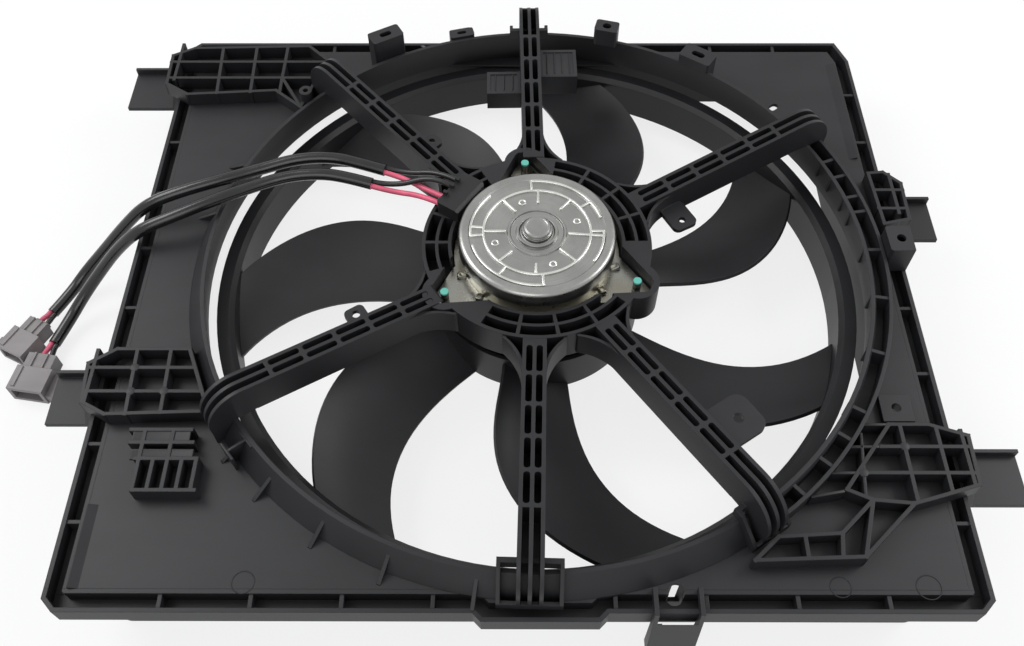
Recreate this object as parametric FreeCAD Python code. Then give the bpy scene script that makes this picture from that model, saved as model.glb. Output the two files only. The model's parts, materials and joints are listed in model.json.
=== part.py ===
import FreeCAD, Part
import math
import os
from FreeCAD import Vector

# Engine cooling fan on a ribbed plastic shroud, lying on its radiator side.
# Millimetres. +Z is the fan axis, motor side up; the floor is z = 0.
# Everything is worked out round the fan axis, then moved by place_x and place_y
# so that the origin is under the middle of the object's outline.

# Panel: a flat deck on a deep open box, with a channel rail round its edge
deck_top = 56.0
deck_skin = 2.6
# how far the deck goes past the barrel's foot on three sides, and falls short of it on the far one
margin_left = 41.0
margin_right = 17.0
margin_near = 6.0
margin_far = -6.0
corner_cut = 7.0
far_corner_run = 20.0
near_bulge = 4.5
near_bulge_half = 31.0
rail_width = 10.0
rail_depth = 10.0
rail_wall = 2.5
rail_rib_pitch = 47.5
skirt_wall = 2.5
skirt_inset_side = 20.0
skirt_inset_near = 13.0
skirt_inset_far = 1.5
skirt_corner = 9.0
bracket_x = 71.0
bracket_half = 13.0
eye_hole_inset = 11.5
eye_hole_radius = 4.4
# the deck is kept as plates that meet at seams, under the near left pad and the right clip
seam_left_inset = 142.0
seam_right = 6.0

# Barrel: the raised collar that the fan turns in
throat_radius = 210.0
lip_overhang = 3.2
lip_skin = 2.5
lip_rise = 13.2
throat_drop = 10.8
barrel_flare = 9.0
channel_width = 11.0
channel_from, channel_to = -54.0, 28.0
channel_rib_angles = (22, 18, 13, 9.5, 1, -9, -20, -31.5, -37, -42.5, -49)
gusset_angles = (-142, -134, -123, -112, -99, 112, 158, 170)
gusset_reach = 8.0
rib_skin = 2.2

# Struts: ladder beams from the motor ring to the barrel
strut_angles = (91.0, 28.5, -56.2, -91.5, -147.0, 134.0)
strut_width = 14.0
strut_wall = 2.2
strut_floor = 3.0
strut_rung = 2.4
strut_pitch = 21.0
pocket_corner = 1.6
strut_end_inset = 11.0
strut_end_rise = 36.0
strut_foot_reach = 4.0
flare_reach = 27.0
flare_half = 19.0
# half widths of the open frames at some struts' feet
strut_wings = {1: 14.0, 3: 13.0, 4: 17.5}
wing_rise = 7.0

# Motor ring that carries the motor by three ears
ring_gap = 6.0
ring_width = 18.5
ring_rise = 24.0
ring_depth = 22.0
ring_ribs = 18
ear_angles = (96.0, 214.0, 334.0)
stud_reach = 20.5
ear_boss = 13.5
ear_seat_rise = 12.0
ear_skin = 1.6
ear_gap = 0.8

# Motor
can_radius = 47.0
can_skin = 1.6
can_bottom = 40.0
cap_overhang = 1.8
cap_top_rise = 35.0
cap_skirt = 11.0
cap_skin = 1.4
shaft_radius = 4.0
running_gap = 0.04
air_gap = 0.8
magnet_thick = 5.5
core_height = 20.0
core_slots = 12
bearing_outer = 9.0
bearing_length = 6.0
commutator_radius = 12.0
brush_gap = 0.3
screw_radius = 2.5
screw_head_radius = 4.4
screw_head_height = 3.2

# Fan: hub cup, seven swept blades and the ring that joins their tips
fan_top_drop = 14.0
fan_gap = 4.2
fan_ring_flare = 10.5
fan_ring_wall = 2.4
fan_ring_depth = 28.0
hub_radius = 68.0
hub_height = 32.0
hub_bottom = 14.0
hub_skin = 2.5
hub_boss_radius = 12.0
hub_boss_height = 14.0
blade_count = 7
blade_skin = 2.6
blade_camber = 3.0
nut_height = 6.0
# share of the span, trailing edge angle, leading edge angle, and the two edges' heights
blade_stations = (
    (0.00, 201.0, 236.5, 42.0, 18.0),
    (0.25, 204.5, 232.5, 41.0, 19.5),
    (0.50, 208.5, 233.5, 39.5, 20.5),
    (0.75, 217.5, 238.5, 38.0, 22.0),
    (1.00, 231.0, 247.0, 36.5, 23.0),
)

# Ribbed mounting pads and the tabs that hang from them
pad_rise = 10.0
pad_rib = 2.2
tab_top = 38.0
tab_skin = 3.0
tab_lip = 5.0
tab_out_left = 44.0
tab_out_right = 43.0
post_radius = 4.6
post_hole = 1.9
post_rise = 18.0

# Leads
wire_radius = 1.8
sleeve_radius = 4.0
sleeve_spread = 1.9
wire_spread = 2.7
wire_height = 7.0
tail_lead = 3.6
connector_length = 29.0
connector_height = 14.0
collar_length = 11.0
socket_start = 19.0
pin_length = 3.5
wing_width = 7.5
wing_height = 8.0
block_angle = 146.0
block_gap = 2.8
block_depth = 16.2
block_half = 15.0
block_height = 10.0

cap_radius = can_radius + cap_overhang
ring_inner = can_radius + ring_gap
ring_outer = ring_inner + ring_width
stud_circle = can_radius + stud_reach
block_inner = can_radius + block_gap
block_outer = block_inner + block_depth

lip_radius = throat_radius - lip_overhang
barrel_foot_radius = throat_radius + barrel_flare
channel_wall_radius = lip_radius + channel_width
strut_end_radius = throat_radius - strut_end_inset
fan_ring_outer = throat_radius - fan_gap
fan_ring_bore = fan_ring_outer - fan_ring_flare

panel_left = -(barrel_foot_radius + margin_left)
panel_right = barrel_foot_radius + margin_right
panel_near = -(barrel_foot_radius + margin_near)
panel_far = barrel_foot_radius + margin_far
seam_left = panel_near + seam_left_inset
eye_hole_y = panel_near + eye_hole_inset
slot_place = (panel_right - 63.0, panel_far - 69.0)
square_boss_place = (panel_right - 29.0, panel_near + 119.0)
tab_reach_left = panel_left - tab_out_left
tab_reach_right = panel_right + tab_out_right

lip_top = deck_top + lip_rise
ring_top = deck_top + ring_rise
ring_bottom = ring_top - ring_depth
ear_seat = deck_top + ear_seat_rise
cap_top = deck_top + cap_top_rise
fan_top = deck_top - fan_top_drop
fan_bottom = fan_top - fan_ring_depth
strut_end_top = deck_top + strut_end_rise
far_enough = 4 * throat_radius

place_x = -(tab_reach_left + tab_reach_right) / 2
bracket_front = panel_near - 8.0
place_y = -(bracket_front + panel_far) / 2


def at(x, y, z=0.0):
    return Vector(x, y, z)


def polar(radius, degrees, z=0.0):
    turn = math.radians(degrees)
    return Vector(radius * math.cos(turn), radius * math.sin(turn), z)


def turned(shape, degrees):
    copy = shape.copy()
    copy.rotate(Vector(0, 0, 0), Vector(0, 0, 1), degrees)
    return copy


def moved(shape, x, y, z=0.0):
    copy = shape.copy()
    copy.translate(Vector(x, y, z))
    return copy


def fused(shapes):
    shapes = list(shapes)
    joined = shapes[0].multiFuse(shapes[1:]) if len(shapes) > 1 else shapes[0]
    return joined.removeSplitter()


def save(name, shape):
    placed = moved(shape, place_x, place_y)
    placed.exportStep("parts/" + name + ".step")
    solids = placed.Solids
    print("%-20s solids %d  volume %.0f  valid %s" % (name, len(solids), placed.Volume, placed.isValid()))


def closed_wire(points):
    return Part.makePolygon(points + [points[0]])


def prism(points, low, high):
    outline = closed_wire([at(x, y, low) for x, y in points])
    return Part.Face(outline).extrude(Vector(0, 0, high - low))


def inset_prism(points, inset, low, high):
    outline = closed_wire([at(x, y, low) for x, y in points])
    if inset:
        outline = outline.makeOffset2D(-inset, 2)
    return Part.Face(outline).extrude(Vector(0, 0, high - low))


def disc(radius, low, high, x=0.0, y=0.0):
    return Part.makeCylinder(radius, high - low, at(x, y, low))


def tube_ring(inner, outer, low, high):
    return disc(outer, low, high).cut(disc(inner, low, high))


def turned_profile(points):
    outline = closed_wire([at(r, 0, z) for r, z in points])
    return Part.Face(outline).revolve(Vector(0, 0, 0), Vector(0, 0, 1), 360)


def sector(inner, outer, start, end, low, high):
    middle = (start + end) / 2
    far = Part.Arc(polar(outer, start, low), polar(outer, middle, low), polar(outer, end, low))
    near = Part.Arc(polar(inner, end, low), polar(inner, middle, low), polar(inner, start, low))
    sides = (Part.LineSegment(polar(outer, end, low), polar(inner, end, low)),
             Part.LineSegment(polar(inner, start, low), polar(outer, start, low)))
    edges = [far.toShape(), sides[0].toShape(), near.toShape(), sides[1].toShape()]
    return Part.Face(Part.Wire(edges)).extrude(Vector(0, 0, high - low))


def bar(start, end, width, low, high):
    run = Vector(end[0] - start[0], end[1] - start[1], 0)
    length = run.Length
    box = Part.makeBox(length + width, width, high - low, at(-width / 2, -width / 2, low))
    box = turned(box, math.degrees(math.atan2(run.y, run.x)))
    return moved(box, start[0], start[1])


def side_profile(points, width):
    outline = closed_wire([at(x, -width / 2, z) for x, z in points])
    return Part.Face(outline).extrude(Vector(0, width, 0))


def rounded(solid, radius, pick):
    edges = [edge for edge in solid.Edges if pick(edge)]
    return solid.makeFillet(radius, edges) if edges else solid


def is_upright(edge):
    if len(edge.Vertexes) != 2:
        return False
    a, b = (vertex.Point for vertex in edge.Vertexes)
    return abs(a.x - b.x) < 1e-6 and abs(a.y - b.y) < 1e-6


# Panel

def panel_outline():
    bulge = near_bulge_half
    return [
        (panel_left + corner_cut, panel_near),
        (-bulge - near_bulge, panel_near),
        (-bulge, panel_near - near_bulge),
        (bulge, panel_near - near_bulge),
        (bulge + near_bulge, panel_near),
        (panel_right - corner_cut, panel_near),
        (panel_right, panel_near + corner_cut),
        (panel_right, panel_far - far_corner_run),
        (panel_right - corner_cut, panel_far),
        (panel_left + corner_cut, panel_far),
        (panel_left, panel_far - corner_cut),
        (panel_left, panel_near + corner_cut),
    ]


def skirt_box(inset, low, high):
    left = panel_left + skirt_inset_side + inset
    right = panel_right - skirt_inset_side - inset
    near = panel_near + skirt_inset_near + inset
    far = panel_far - skirt_inset_far - inset
    box = prism([(left, near), (right, near), (right, far), (left, far)], low, high)
    return rounded(box, skirt_corner - inset, is_upright)


def barrel_envelope():
    low = deck_top - throat_drop
    shape = turned_profile([
        (lip_radius - 12, low), (throat_radius + lip_skin, low),
        (throat_radius + lip_skin, deck_top - deck_skin),
        (barrel_foot_radius, deck_top - deck_skin), (barrel_foot_radius, deck_top),
        (lip_radius + lip_skin, lip_top), (lip_radius - 12, lip_top),
    ])
    return shape.common(prism(panel_outline(), 0, lip_top + 1))


def rail_ribs():
    ribs = []
    low = deck_top - rail_depth
    x = panel_left + 61.5
    while x < panel_right - rail_width:
        if abs(x) > near_bulge_half:
            ribs.append(bar((x, panel_near + 1), (x, panel_near + rail_width), rib_skin, low, deck_top - 1))
        if abs(x) > 100:
            ribs.append(bar((x, panel_far - rail_width), (x, panel_far - 2), rib_skin, low, deck_top - 1))
        x += rail_rib_pitch
    y = panel_near + 50
    while y < panel_far - rail_width:
        ribs.append(bar((panel_left + 1, y), (panel_left + rail_width, y), rib_skin, low, deck_top - 1))
        ribs.append(bar((panel_right - rail_width, y), (panel_right - 2, y), rib_skin, low, deck_top - 1))
        y += rail_rib_pitch
    return ribs


def barrel_room():
    """Space that the collar takes out of the deck, the rail and the box."""
    throat = disc(throat_radius + lip_skin, deck_top - throat_drop, deck_top + 1)
    return throat.fuse(disc(barrel_foot_radius, deck_top - deck_skin, deck_top + 1))


def rail_band():
    outline = panel_outline()
    floor = deck_top - rail_depth - rail_wall
    band = inset_prism(outline, 0, floor, deck_top)
    return band.cut(inset_prism(outline, rail_width + rail_wall, floor, deck_top))


def eye_hole():
    return disc(eye_hole_radius, deck_top - 20, deck_top + 6, bracket_x, eye_hole_y)


def make_deck():
    """Flat deck inside the rail, as plates that meet under the near left pad and the right clip."""
    low = deck_top - deck_skin
    plate = inset_prism(panel_outline(), rail_width + rail_wall, low, deck_top)
    boss = moved(Part.makeBox(18, 18, 4, at(-9, -9, deck_top)), *square_boss_place)
    strip_left = side_strip(panel_left + rail_width + rail_wall, panel_near + rail_width + rail_wall, 47.0, 1)
    strip_right = side_strip(panel_right - rail_width - rail_wall, panel_far - 120, 96.0, -1)
    body = fused([plate, boss, strip_left, strip_right]).cut(barrel_room())
    body = body.cut(disc(2.8, deck_top - 5, deck_top + 6, *square_boss_place))
    slot = slot_cut(8.0, 5.0, deck_top - 5, deck_top + 6)
    body = body.cut(moved(turned(slot, 40), *slot_place)).cut(eye_hole())
    plates = []
    for start, end, seam in ((panel_left, 0, seam_left), (0, panel_right, seam_right)):
        for near, far in ((panel_near, seam), (seam, panel_far)):
            room = Part.makeBox(end - start, far - near, 20, at(start, near, low - 5))
            plates += body.common(room).Solids
    return Part.makeCompound(plates)


def make_rail():
    """Channel round the deck's edge, one length for each side of the panel."""
    outline = panel_outline()
    trough = inset_prism(outline, rail_wall, deck_top - rail_depth, deck_top)
    trough = trough.cut(inset_prism(outline, rail_width, deck_top - rail_depth, deck_top))
    body = rail_band().cut(trough).fuse(rail_ribs())
    body = body.common(rail_band()).cut([barrel_room(), eye_hole()]).removeSplitter()
    width = rail_width + rail_wall
    near = Part.makeBox(600, 40 + width, 100, at(-300, panel_near - 40, 0))
    far = Part.makeBox(600, 40 + width, 100, at(-300, panel_far - width, 0))
    middle = body.cut([near, far])
    lengths = body.common(near).Solids + body.common(far).Solids + middle.Solids
    return Part.makeCompound(lengths)


def make_skirt():
    """Four walls of the open box under the deck, mitred at the corners."""
    low = deck_top - deck_skin
    body = skirt_box(0, 0, low).cut(skirt_box(skirt_wall, 0, low))
    body = body.cut([rail_band(), barrel_room(), eye_hole()])
    left, right = panel_left + skirt_inset_side, panel_right - skirt_inset_side
    near, far = panel_near + skirt_inset_near, panel_far - skirt_inset_far
    deep = 60
    ends = prism([(left - deep, near - deep), (right + deep, near - deep), (right - deep, near + deep),
                  (left + deep, near + deep)], 0, deck_top)
    tops = prism([(left - deep, far + deep), (right + deep, far + deep), (right - deep, far - deep),
                  (left + deep, far - deep)], 0, deck_top)
    walls = body.common(ends).Solids + body.common(tops).Solids + body.cut([ends, tops]).Solids
    return Part.makeCompound(walls)


def slot_cut(length, width, low, high):
    reach = (length - width) / 2
    middle = Part.makeBox(2 * reach, width, high - low, at(-reach, -width / 2, low))
    return fused([middle, disc(width / 2, low, high, -reach), disc(width / 2, low, high, reach)])


def side_strip(x, y, length, side):
    width, rise = 9.0, 1.6
    outline = closed_wire([at(x, y, deck_top - 1), at(x, y, deck_top + rise),
                           at(x + side * width, y, deck_top - 1)])
    return Part.Face(outline).extrude(Vector(0, length, 0))


# Barrel

def make_barrel():
    low = deck_top - throat_drop
    deck_low = deck_top - deck_skin
    solid = turned_profile([
        (throat_radius, low), (throat_radius + lip_skin, low), (throat_radius + lip_skin, deck_low),
        (barrel_foot_radius, deck_low), (barrel_foot_radius, deck_top),
        (lip_radius + lip_skin, lip_top), (lip_radius, lip_top),
    ])
    hollow = turned_profile([
        (throat_radius + 0.3, lip_top - 6), (throat_radius + 1.6, lip_top - 6),
        (barrel_foot_radius - lip_skin, deck_top), (barrel_foot_radius - lip_skin, deck_low - 1),
        (throat_radius + lip_skin, deck_low - 1), (throat_radius + lip_skin, deck_low + 3),
    ])
    outline = panel_outline()
    solid = solid.common(prism(outline, 0, lip_top + 1))
    solid = solid.cut(hollow.common(inset_prism(outline, lip_skin, 0, lip_top + 1)))
    trough = sector(lip_radius + lip_skin + 1.2, channel_wall_radius, channel_from, channel_to,
                    deck_top, lip_top + 1)
    outer_wall = sector(channel_wall_radius, channel_wall_radius + rib_skin, channel_from, channel_to,
                        deck_top, lip_top)
    floor = sector(throat_radius, barrel_foot_radius, channel_from, channel_to, deck_low, deck_top)
    rib = bar((lip_radius + 1, 0), (channel_wall_radius + 1, 0), rib_skin, deck_top, lip_top - 1)
    ribs = [turned(rib, angle) for angle in channel_rib_angles]
    toe, heel = barrel_foot_radius + gusset_reach, barrel_foot_radius - 3
    crest = (lip_radius + lip_skin - 1, lip_top - 2)
    gusset = side_profile([crest, (toe, deck_top), (heel, deck_top)], rib_skin)
    gussets = [turned(gusset, angle) for angle in gusset_angles]
    solid = solid.cut(trough)
    solid = fused([solid, floor, outer_wall] + ribs + gussets)
    inside_panel = prism(outline, 0, lip_top + 1)
    return solid.common(inside_panel).removeSplitter()


# Motor ring

def ear_outline(clearance):
    tip = stud_circle + 8.5 + clearance
    half = 21.0 + clearance
    return [(can_radius - 6, -half), (can_radius + 3, -half + 2), (tip - 2, -5 - clearance),
            (tip, -3 - clearance), (tip, 3 + clearance), (tip - 2, 5 + clearance),
            (can_radius + 3, half - 2), (can_radius - 6, half)]


def ring_envelope():
    shapes = [disc(ring_outer, ring_bottom, ring_top)]
    for angle in ear_angles:
        centre = polar(stud_circle, angle)
        shapes.append(disc(ear_boss, ring_bottom, ring_top, centre.x, centre.y))
    return fused(shapes)


def make_motor_ring():
    body = ring_envelope().cut(disc(ring_inner, ring_bottom - 1, ring_top + 1))
    step = 360.0 / ring_ribs
    pockets = []
    rows = ((ring_inner + 2.2, 61.2), (63.2, ring_outer - 2.2))
    for number in range(ring_ribs):
        start = number * step
        half_rib = 1.1
        for inner, outer in rows:
            lost = math.degrees(half_rib / outer)
            if not near_ear(start + step / 2):
                pockets.append(sector(inner, outer, start + lost, start + step - lost,
                                      ring_bottom + 4, ring_top + 1))
    body = body.cut(Part.makeCompound(pockets))
    seat = prism(ear_outline(ear_gap), ear_seat, ring_top + 1)
    hole = disc(screw_radius + 0.4, ring_bottom - 1, ring_top + 1, stud_circle)
    for angle in ear_angles:
        body = body.cut(turned(seat, angle)).cut(turned(hole, angle))
    return body.removeSplitter()


def screw_room():
    head = disc(screw_head_radius + 2.0, ring_bottom - screw_head_height, ring_bottom, stud_circle)
    return Part.makeCompound([turned(head, angle) for angle in ear_angles])


def near_ear(angle):
    for ear in ear_angles:
        away = abs((angle - ear + 180) % 360 - 180)
        if away < 24:
            return True
    return False


# Struts

def strut_top(r):
    run = strut_end_radius - ring_outer
    return ring_top + (r - ring_outer) * (strut_end_top - ring_top) / run


def strut_bottom(r):
    run = strut_end_radius - ring_outer
    return ring_bottom + (r - ring_outer) * (lip_top - ring_bottom) / run


def strut_beam():
    start = ring_inner + 8
    end = barrel_foot_radius + strut_foot_reach
    tip = strut_end_radius
    top_face = Part.LineSegment(at(start, 0, strut_top(start)), at(tip, 0, strut_end_top)).toShape()
    brow = at(tip + 0.72 * (end - tip), 0, strut_end_top - 0.24 * (strut_end_top - lip_top))
    curve = Part.Arc(at(tip, 0, strut_end_top), brow, at(end, 0, lip_top - 2)).toShape()
    points = [at(end, 0, lip_top - 2), at(end, 0, deck_top), at(lip_radius, 0, deck_top),
              at(lip_radius, 0, lip_top), at(tip, 0, lip_top), at(start, 0, strut_bottom(start)),
              at(start, 0, strut_top(start))]
    rest = Part.makePolygon(points).Edges
    outline = Part.Wire([top_face, curve] + rest)
    face = Part.Face(outline)
    face.translate(Vector(0, -strut_width / 2, 0))
    return face.extrude(Vector(0, strut_width, 0))


def strut_pockets():
    width = (strut_width - 3 * strut_wall) / 2
    over = strut_end_top + 5
    pockets = []
    edges = []
    r = ring_outer + 5
    while r + strut_pitch < strut_end_radius + 2:
        edges.append((r, r + strut_pitch - strut_rung))
        r += strut_pitch
    for near, far in edges:
        floor = [(r, strut_bottom(r) + strut_floor) for r in (near, far)]
        pocket = side_profile(floor + [(far, over), (near, over)], width)
        pockets.append(rounded(pocket, pocket_corner, is_upright))
    wall, reach = lip_radius + lip_skin, barrel_foot_radius + strut_foot_reach + 1
    foot = side_profile([(r, lip_top + 1), (wall, lip_top + 1), (wall, deck_top - 1),
                         (reach, deck_top - 1), (reach, over), (r, over)], width)
    pockets.append(foot)
    shift = (width + strut_wall) / 2
    both = [moved(pocket, 0, side * shift) for pocket in pockets for side in (-1, 1)]
    return Part.makeCompound(both)


def flare_outline(inset, low):
    """Plan of the flare: two curved sides that run out of the ring into the strut."""
    near, far = ring_inner + 8 + inset, ring_outer + flare_reach
    half, wide = strut_width / 2 - inset, flare_half - inset
    waist = ring_outer + 0.38 * flare_reach
    edges = []
    for side in (-1, 1):
        start, end = at(ring_outer - 1, side * wide, low), at(far, side * half, low)
        middle = at(waist, side * (half + 0.30 * (wide - half)), low)
        edges.append(Part.Arc(start, middle, end).toShape())
        edges.append(Part.LineSegment(at(near, side * wide, low), start).toShape())
    edges.append(Part.LineSegment(at(near, -wide, low), at(near, wide, low)).toShape())
    edges.append(Part.LineSegment(at(far, -half, low), at(far, half, low)).toShape())
    return Part.Wire(Part.__sortEdges__(edges))


def strut_flare():
    low = ring_bottom + 3
    shell = Part.Face(flare_outline(0, low)).extrude(Vector(0, 0, ring_top - 1 - low))
    hollow = Part.Face(flare_outline(strut_wall, low + 3)).extrude(Vector(0, 0, ring_top - low))
    return shell.cut(hollow)


def eyelet(r, offset, length, width, hole, rise):
    """A flat lug beside a strut, in the strut's own frame, with a round hole near its end."""
    side = 1 if offset > 0 else -1
    inner = side * (strut_width / 2 - 1)
    low, high = sorted((inner, offset + side * width / 2))
    plate = Part.makeBox(length, high - low, 3.0, at(r - length / 2, low, rise))
    plate = rounded(plate, min(width, length) * 0.3, is_upright)
    web = bar((r, inner), (r, offset - side * (hole + 2)), rib_skin, rise - 4, rise)
    return fused([plate, web]).cut(disc(hole, rise - 5, rise + 5, r, offset))


strut_lugs = {
    2: ((96.0, -21.0, 17.0, 13.0, 2.3, 66.0),),
    3: ((163.0, 24.0, 27.0, 24.0, 3.0, 74.0),),
    5: ((118.0, -19.0, 13.0, 11.0, 2.6, 68.0),),
    6: ((113.0, -12.0, 12.0, 11.0, 2.2, 74.0),),
}


def foot_wings(half):
    """Two cheeks beside a strut's foot, tied to it by a bar at the lip and one at the rail."""
    reach = barrel_foot_radius + strut_foot_reach
    near = lip_radius - 4
    crest = lip_top + wing_rise
    cheek = side_profile([(near, lip_top), (near, crest), (lip_radius + 2, crest),
                          (reach, deck_top + 6), (reach, deck_top), (lip_radius, deck_top)], rib_skin)
    pieces = [moved(cheek, 0, side * (half - rib_skin / 2)) for side in (-1, 1)]
    pieces.append(Part.makeBox(rib_skin, 2 * half, 6, at(reach - rib_skin, -half, deck_top)))
    pieces.append(Part.makeBox(3.0, 2 * half, wing_rise, at(near, -half, lip_top)))
    return pieces


def make_struts():
    beam = strut_beam().cut(strut_pockets())
    beam = beam.fuse(strut_flare().cut(strut_pockets()))
    envelope = barrel_envelope()
    inside = prism(panel_outline(), 0, strut_end_top + 10)
    hub = ring_envelope()
    for number, angle in enumerate(strut_angles, 1):
        pieces = [beam] + [eyelet(*lug) for lug in strut_lugs.get(number, ())]
        if number in strut_wings:
            pieces += foot_wings(strut_wings[number])
        rooms = [hub, envelope, channel_room(), screw_room()]
        strut = turned(fused(pieces), angle).cut(rooms).common(inside)
        biggest = max(strut.Solids, key=lambda solid: solid.Volume)
        yield number, biggest


# Mounting pads

def rib_net(runs, low, high, width=pad_rib):
    return [bar(a, b, width, low, high) for a, b in runs]


def loop_runs(points):
    return list(zip(points, points[1:] + points[:1]))


def from_corner(points, corner):
    return [(corner[0] + x, corner[1] + y) for x, y in points]


def make_pad(corner, outline, ribs, tab):
    """Ribbed pad on the deck and the tab outside it, as two solids that meet at the panel's edge."""
    high = deck_top + pad_rise
    runs = [from_corner(run, corner) for run in loop_runs(outline) + ribs]
    shapes = rib_net(runs, deck_top, high)
    edge = corner[0]
    side = 1 if edge > 0 else -1
    wall_x = edge + side * (pad_rib / 2 + 0.3)
    near, far = (corner[1] + y for y in tab["span"])
    drop = bar((wall_x, near), (wall_x, far), pad_rib, tab_top - tab_skin, high)
    outer = edge + side * tab["out"]
    low_x, high_x = sorted((wall_x, outer))
    plate = Part.makeBox(high_x - low_x, far - near, tab_skin, at(low_x, near, tab_top - tab_skin))
    shapes += [drop, plate]
    for y in (near + 1, far - 1, (near + far) / 2):
        shapes.append(side_wedge(wall_x, side, y, tab_top, high - 3))
    lip_y = far - rib_skin / 2
    shapes.append(bar((wall_x, lip_y), (outer - side * 1.1, lip_y), rib_skin, tab_top, tab_top + tab_lip))
    pad = fused(shapes)
    if "post" in tab:
        x, y = from_corner([tab["post"]], corner)[0]
        pad = pad.fuse(disc(post_radius, deck_top, deck_top + post_rise, x, y))
        pad = pad.cut(disc(post_hole, high, deck_top + post_rise + 1, x, y))
    feet = [turned(foot_room(), angle) for angle in strut_angles]
    pad = pad.cut([trimmed_deck(), barrel_envelope()] + feet)
    pad = max(pad.Solids, key=lambda solid: solid.Volume)
    inside = Part.makeBox(abs(edge), far_enough, far_enough, at(min(edge, 0), -far_enough / 2, 0))
    return Part.makeCompound([pad.common(inside), pad.cut(inside)])


def foot_room():
    length = barrel_foot_radius + strut_foot_reach - lip_radius
    return Part.makeBox(length, strut_width, strut_end_rise, at(lip_radius, -strut_width / 2, deck_top))


def side_wedge(x, side, y, low, high):
    points = [at(x, y - rib_skin / 2, low), at(x + side * 9, y - rib_skin / 2, low),
              at(x + side * 1, y - rib_skin / 2, high)]
    return Part.Face(closed_wire(points)).extrude(Vector(0, rib_skin, 0))


def trimmed_deck():
    return prism(panel_outline(), -1, deck_top)


# each pad's point of the panel's edge, then its outline, ribs, tab and post, measured from that point
pads = {
    "pad_far_left": (
        (panel_left, panel_far),
        [(-7, -25), (8, -17), (93, -15), (108, -30), (94, -79), (74, -62), (11, -66), (-6, -55)],
        [((-7, -32), (107, -32)), ((-6, -49), (102, -49)), ((29, -17), (32, -65)), ((54, -17), (56, -64)),
         ((77, -16), (77, -63)), ((77, -49), (94, -79))],
        {"out": tab_out_left, "span": (-51, -13), "post": (98, -71)},
    ),
    "pad_near_left": (
        (panel_left, panel_near),
        [(-5, 145), (10, 155), (53, 155), (71, 113), (12, 111), (-3, 119)],
        [((-4, 142), (58, 142)), ((-2, 126), (64, 126)), ((22, 155), (24, 111)), ((42, 155), (44, 112))],
        {"out": 35.0, "span": (119, 154)},
    ),
    "pad_far_right": (
        (panel_right, 0),
        [(-12, 71), (-2, 72), (8, 62), (7, 31), (-10, 27)],
        [((-11, 56), (8, 56)), ((-11, 40), (7, 40))],
        {"out": 36.0, "span": (36, 70)},
    ),
    "pad_near_right": (
        (panel_right, panel_near),
        [(-38, 105), (-16, 105), (5, 98), (4, 68), (-23, 60), (-34, 57), (-66, 27), (-124, 25), (-110, 38),
         (-76, 40), (-56, 59), (-69, 65)],
        [((-45, 91), (4, 91)), ((-58, 75), (4, 75)), ((-32, 105), (-32, 59)), ((-12, 103), (-12, 64)),
         ((-56, 59), (-34, 57)), ((-96, 39), (-96, 26)), ((-76, 40), (-78, 27)), ((-56, 59), (-66, 27))],
        {"out": tab_out_right, "span": (68, 101)},
    ),
}


# Brackets round the barrel

def slotted_block(width, depth, low, high, slot):
    """An upright clip box, open below, with a slot through its top."""
    block = Part.makeBox(width, depth, high - low, at(-width / 2, -depth / 2, low))
    block = rounded(block, 2.0, is_upright)
    wall = 2.4
    core = Part.makeBox(width - 2 * wall, depth - 2 * wall, high - low - wall,
                        at(wall - width / 2, wall - depth / 2, low))
    block = block.cut(core)
    return block.cut(slot_cut(slot[0], slot[1], high - 5, high + 1))


def placed_clip(shape, radius, angle):
    return turned(moved(turned(shape, -90), radius, 0), angle)


def make_clips():
    """Clip boxes and lugs that stand outside the barrel: name, shape."""
    base = deck_top
    foot = barrel_envelope()
    foot_r = barrel_foot_radius
    clips = {
        "clip_far_left": (slotted_block(24, 13, base, base + 27, (9, 4.5)), foot_r + 0.5, 119.5),
        "clip_far": (slotted_block(17, 12, base, base + 27, (6.5, 5.5)), foot_r - 12.0, 75.0),
        "clip_far_right": (slotted_block(24, 15, base, base + 21, (10, 5)), foot_r - 6.5, 56.0),
        "clip_right": (slotted_block(20, 17, base, base + 21, (6, 5.8)), foot_r + 10.0, 1.5),
        "clip_far_low": (slotted_block(18, 9, base, base + 15, (7, 3)), foot_r - 5.0, 104.5),
    }
    inside = prism(panel_outline(), 0, base + 60)
    for name, (shape, radius, angle) in clips.items():
        clip = placed_clip(shape, radius, angle).cut(foot).cut(channel_room()).common(inside)
        yield name, max(clip.Solids, key=lambda solid: solid.Volume)


def channel_room():
    return sector(channel_wall_radius - 10, channel_wall_radius + rib_skin, channel_from, channel_to,
                  deck_top - deck_skin, lip_top)


def make_bottom_bracket():
    """Hanger outside the near rail: two side walls, a sloped front with a window, a hole plate."""
    left, right = bracket_x - bracket_half, bracket_x + bracket_half
    back = panel_near
    front = bracket_front
    top = deck_top + 6.0
    low = 11.0
    skin = 2.4
    profile = [at(left, back, low), at(left, front, low), at(left, front + 5.0, top), at(left, back, top)]
    block = Part.Face(closed_wire(profile)).extrude(Vector(right - left, 0, 0))
    width = right - left - 2 * skin
    hollow = Part.makeBox(width, 4.0, top - low + 2, at(left + skin, back - 3.99, low - 1))
    block = block.cut(hollow)
    window = Part.makeBox(right - left - 4 * skin, 20, 9, at(left + 2 * skin, front - 5, top - 12))
    block = block.cut(window)
    cheeks = [Part.makeBox(skin, 12.5, top - deck_top, at(x, back - 0.5, deck_top))
              for x in (left, right - skin)]
    bracket = fused([block] + cheeks)
    return bracket.cut(trimmed_deck()).removeSplitter()


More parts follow.
